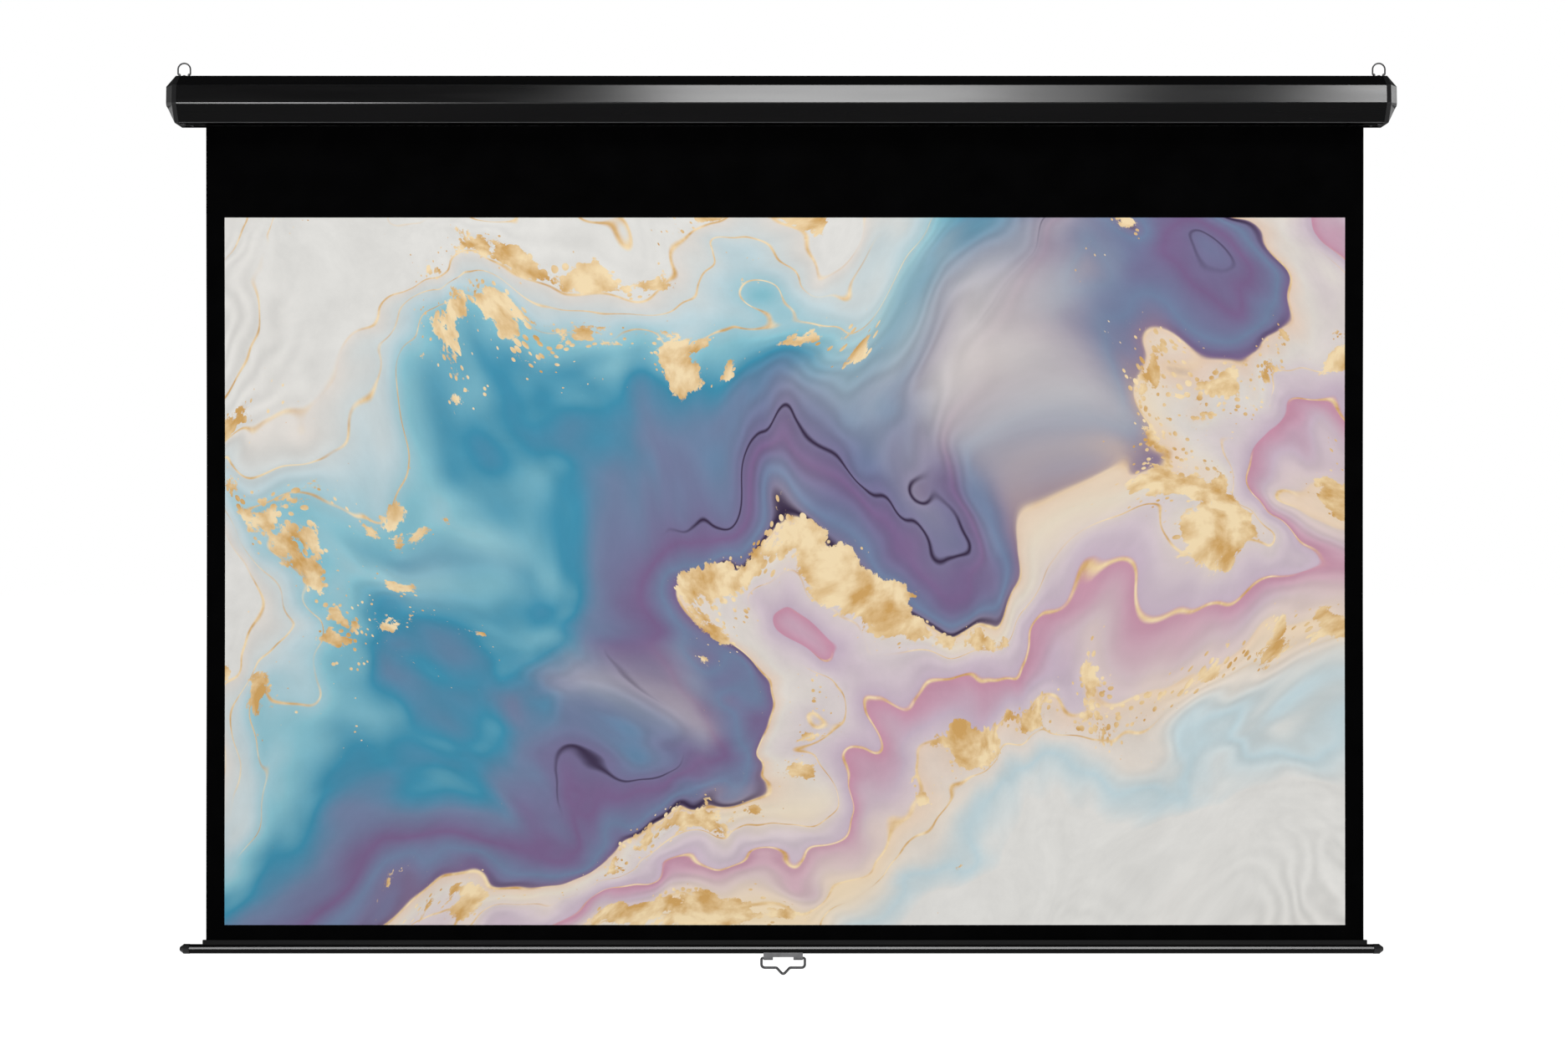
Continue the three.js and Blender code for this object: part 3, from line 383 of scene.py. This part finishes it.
def pushed(tree, place, scale, reach, detail=2.0):
    """A place moved about by a coloured noise."""
    coloured = noise(tree, place, scale, detail, output="Color")
    drift = vectors(tree, "SUBTRACT", coloured, (0.5, 0.5, 0.5))
    return vectors(tree, "ADD", place, scaled(tree, drift, reach))


def line_at(tree, field, level, width):
    """1 on the line where a field has a level, and 0 a width away from it."""
    away = maths(tree, "ABSOLUTE", maths(tree, "SUBTRACT", field, level))
    return maths(tree, "SUBTRACT", 1.0, between(tree, away, 0.0, width))


def largest(tree, values):
    whole = values[0]
    for value in values[1:]:
        whole = maths(tree, "MAXIMUM", whole, value)
    return whole


def lines_at(tree, field, lines):
    return largest(tree, [line_at(tree, field, level, width) for level, width in lines])


def band_field(tree, place):
    """Bands that run down from the upper right, and wander."""
    part = add(tree, "ShaderNodeSeparateXYZ", {0: place})
    slope = maths(tree, "MULTIPLY", part.outputs["X"], BAND_SLOPE)
    fall = maths(tree, "MULTIPLY", part.outputs["Y"], BAND_FALL)
    level = maths(tree, "ADD", maths(tree, "ADD", slope, fall), 0.5)
    swirl = maths(tree, "SUBTRACT", noise(tree, place, scale=1.4), 0.5)
    return maths(tree, "ADD", level, maths(tree, "MULTIPLY", swirl, SWIRL))


def wash(tree, field, fine):
    """The inks: bands, with fine ripples across them and a pale veil over parts of them."""
    ripples = maths(tree, "SINE", maths(tree, "MULTIPLY", field, RIPPLE_RATE))
    rippled = between(tree, noise(tree, fine, scale=2.2, detail=2), 0.45, 0.65)
    mottled = maths(tree, "MULTIPLY_ADD", noise(tree, fine, scale=16, detail=7, roughness=0.65), 0.3, 0.8)
    shade = maths(tree, "MULTIPLY_ADD", maths(tree, "MULTIPLY", ripples, rippled), RIPPLE_DEPTH, mottled)
    grey = add(tree, "ShaderNodeCombineColor", {0: shade, 1: shade, 2: shade}).outputs[0]
    clouds = noise(tree, fine, scale=2.0, detail=3)
    veiled = mix(tree, between(tree, clouds, 0.5, 0.85), ramp(tree, field, WASH_STOPS), CREAM)
    shaded = mix(tree, 1.0, veiled, grey, "MULTIPLY")
    glow = maths(tree, "MULTIPLY", lines_at(tree, field, GLOWS), between(tree, clouds, 0.42, 0.66))
    return mix(tree, maths(tree, "MULTIPLY", glow, GLOW_SHARE), shaded, PALE_GOLD)


def inking(tree, field, fine):
    """Dark outlines along the foot of the violet bands."""
    present = between(tree, noise(tree, fine, scale=2.4, detail=2), 0.44, 0.56)
    return maths(tree, "MULTIPLY", lines_at(tree, field, OUTLINES), present)


def gilding(tree, field, drift, fine):
    """Where the gold lies: broken veins, and spatter, dust and ragged leaves along the shores."""
    broken = between(tree, noise(tree, fine, scale=5, detail=3), 0.38, 0.52)
    veins = maths(tree, "MULTIPLY", lines_at(tree, field, VEINS), broken)
    patches = between(tree, noise(tree, drift, scale=2.6, roughness=0.6), 0.40, 0.60)
    spread = maths(tree, "MULTIPLY", lines_at(tree, field, SHORES), patches)
    spots = add(tree, "ShaderNodeTexVoronoi", {"Vector": fine, "Scale": 85.0}).outputs["Distance"]
    spot_size = maths(tree, "MULTIPLY_ADD", spread, 0.62, -0.06)
    spatter = between(tree, spot_size, spots, maths(tree, "ADD", spots, 0.05))
    ragged = maths(tree, "MULTIPLY_ADD", spread, 0.2, noise(tree, fine, scale=5.2, detail=9, roughness=0.7))
    leaves = between(tree, ragged, 0.665, 0.68)
    rare = maths(tree, "MULTIPLY_ADD", spread, -0.25, 0.8)
    dust = between(tree, noise(tree, fine, scale=150, detail=2), rare, 0.85)
    return largest(tree, [veins, spatter, leaves, dust])


def view_picture():
    material, tree, shader = new_material("view_picture", CREAM, roughness=0.85, specular=0.08)
    flat = place_of(tree, "UV")
    wide_drift = pushed(tree, flat, scale=1.1, reach=0.6)
    drift = pushed(tree, wide_drift, scale=2.8, reach=0.2)
    fine = pushed(tree, drift, scale=12, reach=0.02, detail=4)
    field = band_field(tree, drift)
    outlined = mix(tree, inking(tree, field, fine), wash(tree, field, fine), INK_LINE)
    gold = ramp(tree, noise(tree, fine, scale=30, detail=5), [(0.35, GOLD), (0.62, PALE_GOLD)])
    put(tree, shader.inputs["Base Color"], mix(tree, gilding(tree, field, drift, fine), outlined, gold))
    grain = noise(tree, scaled(tree, flat, 900.0), scale=1, detail=2)
    put(tree, shader.inputs["Normal"], bump(tree, grain, strength=0.12, distance=0.02 * MM))
    return material


SATIN_BLACK = (0.0018, 0.0018, 0.002)
PEEL_DEPTH = 0.002 * MM

# The finish of each slot of the record
finishes = {
    "case_coat": coated_metal("case_coat", SATIN_BLACK, 0.17, specular=0.06, depth=PEEL_DEPTH),
    "bar_coat": coated_metal("bar_coat", SATIN_BLACK, 0.2, specular=0.06, depth=PEEL_DEPTH),
    "cap_plastic": moulded_plastic("cap_plastic", (0.009, 0.009, 0.0095), 0.36, specular=0.2),
    "black_screw": plated_steel("black_screw", (0.035, 0.035, 0.037), 0.34, EVEN_FINE),
    "dark_steel": plated_steel("dark_steel", (0.16, 0.16, 0.165), 0.33),
    "zinc_steel": plated_steel("zinc_steel", (0.50, 0.51, 0.52), 0.36),
    "saddle_steel": plated_steel("saddle_steel", (0.22, 0.22, 0.225), 0.34, DRAWN_ALONG_Y),
    "spring_steel": plated_steel("spring_steel", (0.26, 0.26, 0.265), 0.3),
    "bracket_steel": plated_steel("bracket_steel", (0.10, 0.10, 0.103), 0.36),
    "handle_wire": plated_steel("handle_wire", (0.06, 0.06, 0.062), 0.35, EVEN_COARSE),
    "loop_wire": plated_steel("loop_wire", (0.08, 0.08, 0.082), 0.32, EVEN_COARSE),
    "grey_nylon": moulded_plastic("grey_nylon", (0.46, 0.45, 0.42), 0.5, specular=0.35),
    "black_fabric": black_cloth(),
    "view_layer": view_picture(),
}

# painted highlights along the case's lower front fold and the front lip of its slot
paint_fold_highlights(finishes["case_coat"], [CASE_FOLD, SLOT_LIP])


# Meshes

def new_piece(name, bm, slot, body, smooth_angle=35):
    """A finished mesh that rides on a body and takes its finish from a slot of the record."""
    mesh = bpy.data.meshes.new(name)
    bmesh.ops.recalc_face_normals(bm, faces=bm.faces)
    bm.to_mesh(mesh)
    bm.free()
    mesh.materials.append(finishes[slot])
    piece = bpy.data.objects.new(name, mesh)
    bpy.context.scene.collection.objects.link(piece)
    mesh.shade_smooth()
    mesh.set_sharp_from_angle(angle=math.radians(smooth_angle))
    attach(piece, body)
    return piece


def skin(bm, rings):
    """Faces between rings of vertices that each close on themselves, and one over each end."""
    for ring, after in zip(rings, rings[1:]):
        for i, vertex in enumerate(ring):
            j = (i + 1) % len(ring)
            bm.faces.new((vertex, ring[j], after[j], after[i]))
    bm.faces.new(list(reversed(rings[0])))
    bm.faces.new(rings[-1])


def swept(path, radius):
    """A round wire along a list of points."""
    bm = bmesh.new()
    across = Vector((0, 1, 0))
    rings = []
    for i, at in enumerate(path):
        along = (path[min(i + 1, len(path) - 1)] - path[max(i - 1, 0)]).normalized()
        across = (across - along * across.dot(along)).normalized()
        other = along.cross(across)
        turns = [2 * math.pi * k / WIRE_SIDES for k in range(WIRE_SIDES)]
        spokes = [math.cos(t) * across + math.sin(t) * other for t in turns]
        rings.append([bm.verts.new(at + radius * spoke) for spoke in spokes])
    skin(bm, rings)
    return bm


def bent(corners, radii):
    """A path through corners, with an arc of its own radius at each of them."""
    path = [corners[0]]
    for before, corner, after, radius in zip(corners, corners[1:], corners[2:], radii):
        back, ahead = (before - corner).normalized(), (after - corner).normalized()
        half = back.angle(ahead) / 2
        reach = radius / math.tan(half)
        middle = corner + (back + ahead).normalized() * (radius / math.sin(half))
        start, end = corner + back * reach - middle, corner + ahead * reach - middle
        path += [middle + radius * start.slerp(end, k / BEND_STEPS) for k in range(BEND_STEPS + 1)]
    return path + [corners[-1]]


def drawn_along(outline, left, right):
    """A closed outline in y and z drawn along X."""
    bm = bmesh.new()
    xs = [left + (right - left) * i / STRIP_COLUMNS for i in range(STRIP_COLUMNS + 1)]
    skin(bm, [[bm.verts.new((x, *at)) for at in outline] for x in xs])
    return bm


def strip(path, thickness):
    """The outline of a band of even thickness along a path in y and z."""
    sides = [], []
    for i, at in enumerate(path):
        along = (path[min(i + 1, len(path) - 1)] - path[max(i - 1, 0)]).normalized()
        out = Vector((-along.y, along.x)) * (thickness / 2)
        sides[0].append(at + out)
        sides[1].append(at - out)
    return [*sides[0], *reversed(sides[1])]


def map_strip(piece, path, left):
    """A UV map in metres: along X, and along the path that the strip follows."""
    layer = piece.data.uv_layers.new(name="flat")
    run = [0.0]
    for at, after in zip(path, path[1:]):
        run.append(run[-1] + (after - at).length)
    along = [*run, *reversed(run)]
    for loop in piece.data.loops:
        x = piece.data.vertices[loop.vertex_index].co.x
        layer.data[loop.index].uv = (x - left, along[loop.vertex_index % len(along)])


def map_flat(piece, low, size):
    """A UV map from x and z, counted from a corner in units of size."""
    layer = piece.data.uv_layers.new(name="flat")
    for loop in piece.data.loops:
        at = piece.data.vertices[loop.vertex_index].co
        layer.data[loop.index].uv = ((at.x - low.x) / size, (at.z - low.z) / size)


# Fabric

cloth_low, cloth_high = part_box("screen_fabric")
view_low, view_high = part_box("view_surface")
split_height = view_low.z
cloth_front = view_high.y
cloth_middle = cloth_front + CLOTH_THICKNESS / 2


def drawn_in(x, z):
    """How far a point of the hanging cloth moves in towards the middle, and out of its plane."""
    depth = min(max((cloth_high.z - z) / (cloth_high.z - cloth_low.z), 0), 1)
    across = 2 * (x - cloth_low.x) / (cloth_high.x - cloth_low.x) - 1
    waist = WAIST * math.sin(math.pi * depth) ** 2
    curl = EDGE_CURL * math.sin(math.pi * depth) * abs(across) ** CURL_POWER
    return -waist * across, -curl


def grid_of(bm, xs, zs, y):
    rows = []
    for z in zs:
        moves = [drawn_in(x, z) for x in xs]
        rows.append([bm.verts.new((x + inward, y + out, z)) for x, (inward, out) in zip(xs, moves)])
    return rows


def rim_of(rows):
    """The vertices round a grid, in order."""
    right = [row[-1] for row in rows[1:-1]]
    left = [row[0] for row in reversed(rows[1:-1])]
    return [*rows[0], *right, *reversed(rows[-1]), *left]


def hanging(low, high, front, thickness):
    """A closed sheet that hangs from high.z to low.z with its front at the given y."""
    bm = bmesh.new()
    xs = [low.x + (high.x - low.x) * i / CLOTH_COLUMNS for i in range(CLOTH_COLUMNS + 1)]
    zs = [low.z + (high.z - low.z) * j / CLOTH_ROWS for j in range(CLOTH_ROWS + 1)]
    layers = [grid_of(bm, xs, zs, front + back) for back in (0, thickness)]
    for rows in layers:
        for row, above in zip(rows, rows[1:]):
            for i in range(CLOTH_COLUMNS):
                bm.faces.new((row[i], row[i + 1], above[i + 1], above[i]))
    front_rim, back_rim = map(rim_of, layers)
    for i, vertex in enumerate(front_rim):
        j = (i + 1) % len(front_rim)
        bm.faces.new((vertex, front_rim[j], back_rim[j], back_rim[i]))
    return bm


def fold_up(piece):
    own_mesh(piece)


def hang_cloth():
    low, high = Vector((cloth_low.x, 0, split_height)), cloth_high
    bm = hanging(low, high, cloth_front, CLOTH_THICKNESS)
    cloth = new_piece("hanging_cloth", bm, "black_fabric", "root")
    map_flat(cloth, low, 1)
    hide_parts("screen_fabric")
    fold_up(cloth)

    bm = hanging(view_low, view_high, view_low.y, VIEW_THICKNESS + TUCK)
    view = new_piece("picture_layer", bm, "view_layer", "root")
    map_flat(view, view_low, view_high.z - view_low.z)
    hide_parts("view_surface")
    fold_up(view)


def hem():
    """The foot of the cloth: its black border, and the loop round the hem rod."""
    rod_low, rod_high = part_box("hem_rod")
    centre = Vector((cloth_middle, (rod_low.z + rod_high.z) / 2))
    radius = (rod_high.z - rod_low.z) / 2 + HEM_SLACK + CLOTH_THICKNESS / 2
    start = math.asin(CLOTH_THICKNESS / 2 / radius)
    sweep = 2 * math.pi - HEM_OPENING * start
    turns = [math.pi / 2 + start + sweep * k / HEM_STEPS for k in range(HEM_STEPS + 1)]
    ring = [centre + radius * Vector((math.cos(t), math.sin(t))) for t in turns]
    path = [Vector((cloth_middle, split_height)), Vector((ring[0].x, ring[0].y + HEM_LEAD)), *ring]
    low, high = cloth_low.x, cloth_high.x
    bm = drawn_along(strip(path, CLOTH_THICKNESS), low, high)
    piece = new_piece("hem_cloth", bm, "black_fabric", "weight_bar")
    map_strip(piece, path, low)


def winding():
    """The turns left on the roller, from where the sheet hangs off to the groove in the tube."""
    pivot = Vector(joints["roller_spin"]["pos_m"])
    low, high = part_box("fabric_roll")
    inner = WIND_OUTER - WIND_PITCH * WIND_TURNS
    last = WIND_TURNS - math.asin(WIND_TAIL_Y / inner) / (2 * math.pi)
    steps = round(last * WIND_STEPS)
    turns = [last * k / steps for k in range(steps + 1)]
    angles = [2 * math.pi * t for t in turns]
    spiral = [(WIND_OUTER - WIND_PITCH * t) * Vector((math.cos(angle), math.sin(angle)))
              for t, angle in zip(turns, angles)]
    top = spiral[-1].y
    heights = [top - (top - WIND_TAIL_Z) * k / WIND_TAIL_STEPS for k in range(1, WIND_TAIL_STEPS + 1)]
    tail = [Vector((WIND_TAIL_Y, height)) for height in heights]
    path = [at + Vector((pivot.y, pivot.z)) for at in [*spiral, *tail]]
    bm = drawn_along(strip(path, WIND_THICKNESS), low.x, high.x)
    piece = new_piece("wound_cloth", bm, "black_fabric", "roller")
    map_strip(piece, path, low.x)
    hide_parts("fabric_roll")


# Wires and screws

def bow(half, pivot):
    """A path in x and z from its half on the +X side, placed at its pivot."""
    whole = [*half, *(Vector((-at.x, at.y, at.z)) for at in reversed(half))]
    return [at + pivot for at in whole]


def pull_handle():
    pivot = Vector(joints["pull_handle_pivot"]["pos_m"])
    corners = [Vector((x, 0, z)) for x, z in (
        (HANDLE_TAIL, 0), (HANDLE_SIDE, 0), (HANDLE_SIDE, -HANDLE_DROP), (HANDLE_DIP_HALF, -HANDLE_DROP),
        (0, -HANDLE_DROP - HANDLE_DIP), (-HANDLE_DIP_HALF, -HANDLE_DROP))]
    half = [at for at in bent(corners, HANDLE_BENDS) if at.x > NEAR_MIDDLE]
    bm = swept(bow(half, pivot), HANDLE_RADIUS)
    piece = new_piece("handle_wire", bm, "handle_wire", "pull_handle", smooth_angle=50)
    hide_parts("pull_handle")


def hanging_loop(side):
    pivot = Vector(joints[f"{side}_loop_pivot"]["pos_m"])
    corners = [Vector((x, 0, z)) for x, z in ((LOOP_TAIL, 0), (LOOP_HALF, 0), (LOOP_HALF, LOOP_LEG))]
    turns = [math.pi / 2 * k / LOOP_ARC_STEPS for k in range(1, LOOP_ARC_STEPS)]
    arc = [Vector((LOOP_HALF * math.cos(t), 0, LOOP_LEG + LOOP_HALF * math.sin(t))) for t in turns]
    bm = swept(bow([*bent(corners, [LOOP_BEND]), *arc], pivot), LOOP_RADIUS)
    piece = new_piece(f"{side}_loop_wire", bm, "loop_wire", f"{side}_hanging_loop", smooth_angle=50)
    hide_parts(f"{side}_hanging_loop")


def in_recess(x, y):
    """How deep a cross recess is at a point of a screw head, from 0 to 1."""
    long, short = max(abs(x), abs(y)), min(abs(x), abs(y))
    side = min(max((RECESS_HALF - short) / RECESS_SIDE_SLOPE, 0), 1)
    end = min(max((RECESS_REACH - long) / RECESS_END_SLOPE, 0), 1)
    return side * end


def case_screw(side):
    low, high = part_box(f"{side}_case_screw")
    middle = (low + high) / 2
    seat = high.z - SCREW_LENGTH
    bm = bmesh.new()

    def ring(radius, height, recess_depth=0.0):
        turns = [2 * math.pi * k / SCREW_SIDES for k in range(SCREW_SIDES)]
        places = [(radius * math.cos(t), radius * math.sin(t)) for t in turns]
        return [bm.verts.new((middle.x + x, middle.y + y, height + recess_depth * in_recess(x, y)))
                for x, y in places]

    rings = [ring(SCREW_SHANK, high.z), ring(SCREW_SHANK, seat), ring(SCREW_HEAD * SCREW_UNDERSIDE, seat)]
    for k in range(SCREW_RINGS + 1):
        share = 1 - k / (SCREW_RINGS + 0.5)
        dome = math.sqrt(max(1 - share ** SCREW_ROUNDNESS, 0))
        height = seat - SCREW_RISE * (SCREW_RIM + (1 - SCREW_RIM) * dome)
        rings.append(ring(SCREW_HEAD * share, height, RECESS_DEPTH))
    skin(bm, rings)
    piece = new_piece(f"{side}_dome_screw", bm, "black_screw", "root", smooth_angle=60)
    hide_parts(f"{side}_case_screw")


# The frame's own nodes

def soft_normals():
    """A node group that joins a mesh's split corners and shades it smooth up to an angle."""
    group = bpy.data.node_groups.new("soft_normals", "GeometryNodeTree")
    group.interface.new_socket("Geometry", in_out="INPUT", socket_type="NodeSocketGeometry")
    group.interface.new_socket("Geometry", in_out="OUTPUT", socket_type="NodeSocketGeometry")
    start, end = group.nodes.new("NodeGroupInput"), group.nodes.new("NodeGroupOutput")
    merged = add(group, "GeometryNodeMergeByDistance", {"Geometry": start.outputs[0], "Distance": WELD})
    smooth = add(group, "GeometryNodeSetShadeSmooth", {"Geometry": merged.outputs[0], "Shade Smooth": True},
                 domain="FACE")
    angle = add(group, "GeometryNodeInputMeshEdgeAngle").outputs["Unsigned Angle"]
    sharp = add(group, "FunctionNodeCompare", {0: angle, 1: SOFT_ANGLE}, operation="GREATER_THAN")
    edges = {"Geometry": smooth.outputs[0], "Selection": sharp.outputs[0], "Shade Smooth": False}
    creased = add(group, "GeometryNodeSetShadeSmooth", edges, domain="EDGE")
    put(group, end.inputs[0], creased.outputs[0])
    return group


def dress_nodes():
    group = soft_normals()
    for node in nodes.values():
        slot = node.data.materials[0].name
        node.data.materials[0] = finishes[slot]
        if not node.hide_render:
            node.modifiers.new("soft_normals", "NODES").node_group = group
            node.modifiers.new("flat_facets", "WEIGHTED_NORMAL").keep_sharp = True


# Stage

def seen_white(tree):
    """1 for the rays that show the background: straight, mirrored and through."""
    path = add(tree, "ShaderNodeLightPath").outputs
    mirrored = maths(tree, "MAXIMUM", path["Is Glossy Ray"], path["Is Transmission Ray"])
    return maths(tree, "MAXIMUM", path["Is Camera Ray"], mirrored)


def stage_plane(name, corners, material):
    bm = bmesh.new()
    bm.faces.new([bm.verts.new(corner) for corner in corners])
    mesh = bpy.data.meshes.new(name)
    bm.to_mesh(mesh)
    bm.free()
    mesh.materials.append(material)
    plane = bpy.data.objects.new(name, mesh)
    bpy.context.scene.collection.objects.link(plane)
    return plane


def pale_floor():
    material, tree, shader = new_material("floor", FLOOR_COLOUR, MATTE, specular=0.0)
    put(tree, shader.inputs["Emission Color"], WHITE)
    put(tree, shader.inputs["Emission Strength"], maths(tree, "MULTIPLY", seen_white(tree), FLOOR_GLOW))
    square = ((-1, -1), (1, -1), (1, 1), (-1, 1))
    stage_plane("floor", [(x * FLOOR_REACH, y * FLOOR_REACH, FLOOR_Z) for x, y in square], material)


def dark_card():
    """A dark card behind the case, for its underside to mirror."""
    material = new_material("dark_card", CARD_COLOUR, MATTE, specular=0.0)[0]
    outline = ((-1, CARD_FOOT), (1, CARD_FOOT), (1, CARD_TOP), (-1, CARD_TOP))
    card = stage_plane("dark_card", [(x * CARD_HALF, CARD_Y, z) for x, z in outline], material)
    card.visible_camera = card.visible_diffuse = card.visible_transmission = card.visible_shadow = False


def white_world():
    world = bpy.data.worlds.new("studio")
    bpy.context.scene.world = world
    world.use_nodes = True
    tree = world.node_tree
    ground = tree.nodes["Background"]
    put(tree, ground.inputs["Color"], WHITE)
    rise = add(tree, "ShaderNodeSeparateXYZ", {0: place_of(tree, "Generated")}).outputs["Z"]
    ceiling = maths(tree, "MULTIPLY", between(tree, rise, *CEILING_RISE), 1 - CEILING_LEVEL)
    glossy = add(tree, "ShaderNodeLightPath").outputs["Is Glossy Ray"]
    lit = maths(tree, "MULTIPLY_ADD", seen_white(tree), 1 - WORLD_LEVEL, WORLD_LEVEL)
    dimmed = maths(tree, "SUBTRACT", 1.0, maths(tree, "MULTIPLY", ceiling, glossy))
    put(tree, ground.inputs["Strength"], maths(tree, "MULTIPLY", lit, dimmed))


def light_panel(name, at, towards, size, radiance, glosses=()):
    """A soft panel. Where it names nodes, it shows in their gloss alone."""
    data = bpy.data.lights.new(name, "AREA")
    data.shape = "RECTANGLE"
    data.size, data.size_y = size
    data.energy = radiance * math.pi * size[0] * size[1]
    lamp = bpy.data.objects.new(name, data)
    lamp.location = at
    lamp.rotation_euler = (Vector(towards) - Vector(at)).to_track_quat("-Z", "Y").to_euler()
    lamp.visible_camera = False
    bpy.context.scene.collection.objects.link(lamp)
    if glosses:
        lamp.visible_diffuse = False
        lit = bpy.data.collections.new(f"{name}_pieces")
        for node in glosses:
            lit.objects.link(nodes[node])
        lamp.light_linking.receiver_collection = lit


def lights():
    """Two panels light everything. The others show in the gloss of the case, the bar and a cap alone."""
    case, bar, cap = ["case_housing"], ["weight_bar"], ["right_end_cap"]
    for panel in (
        ("case_panel", (0.13, -4.0, 1.35), (0.13, 0, 0), (1.15, 0.9), 100, case),
        ("case_fade_panel", (0.92, -4.0, 1.35), (0.92, 0, 0), (0.43, 0.9), 30, case),
        ("case_end_panel", (2.15, -4.0, 1.35), (2.15, 0, 0), (0.55, 0.9), 110, case),
        ("crease_panel", (-1.75, -4.0, -0.6), (-1.75, 0, -0.6), (0.9, 2.6), 75, case),
        ("bar_panel", (0, -3.0, 0.44), (0, 0, 0.44), (4.2, 3.2), 70, bar),
        ("cap_panel", (3.0, 0.7, 0.6), (1.1, -0.08, 0), (1.2, 0.9), 5, cap),
        ("front_panel", (0, -5.4, -0.95), (0, 0, -0.9), (3.6, 0.6), 11),
        ("soft_panel", (0, -3.4, 3.2), (0, 0, -0.7), (4.0, 1.6), 5.2),
    ):
        light_panel(*panel)


def camera():
    data = bpy.data.cameras.new("camera")
    data.sensor_width = SENSOR
    data.lens = SENSOR * CAMERA_AWAY / (IMAGE_WIDTH * METRES_PER_PIXEL)
    eye = bpy.data.objects.new("camera", data)
    eye.location = (CAMERA_X, cloth_front - CAMERA_AWAY, CAMERA_Z)
    eye.rotation_euler = (math.pi / 2, 0, 0)
    bpy.context.scene.collection.objects.link(eye)
    bpy.context.scene.camera = eye


bpy.context.scene.view_settings.view_transform = "Standard"
camera()
white_world()
pale_floor()
dark_card()
lights()
hem()
winding()
hang_cloth()
pull_handle()
for side in ("left", "right"):
    hanging_loop(side)
    case_screw(side)
dress_nodes()
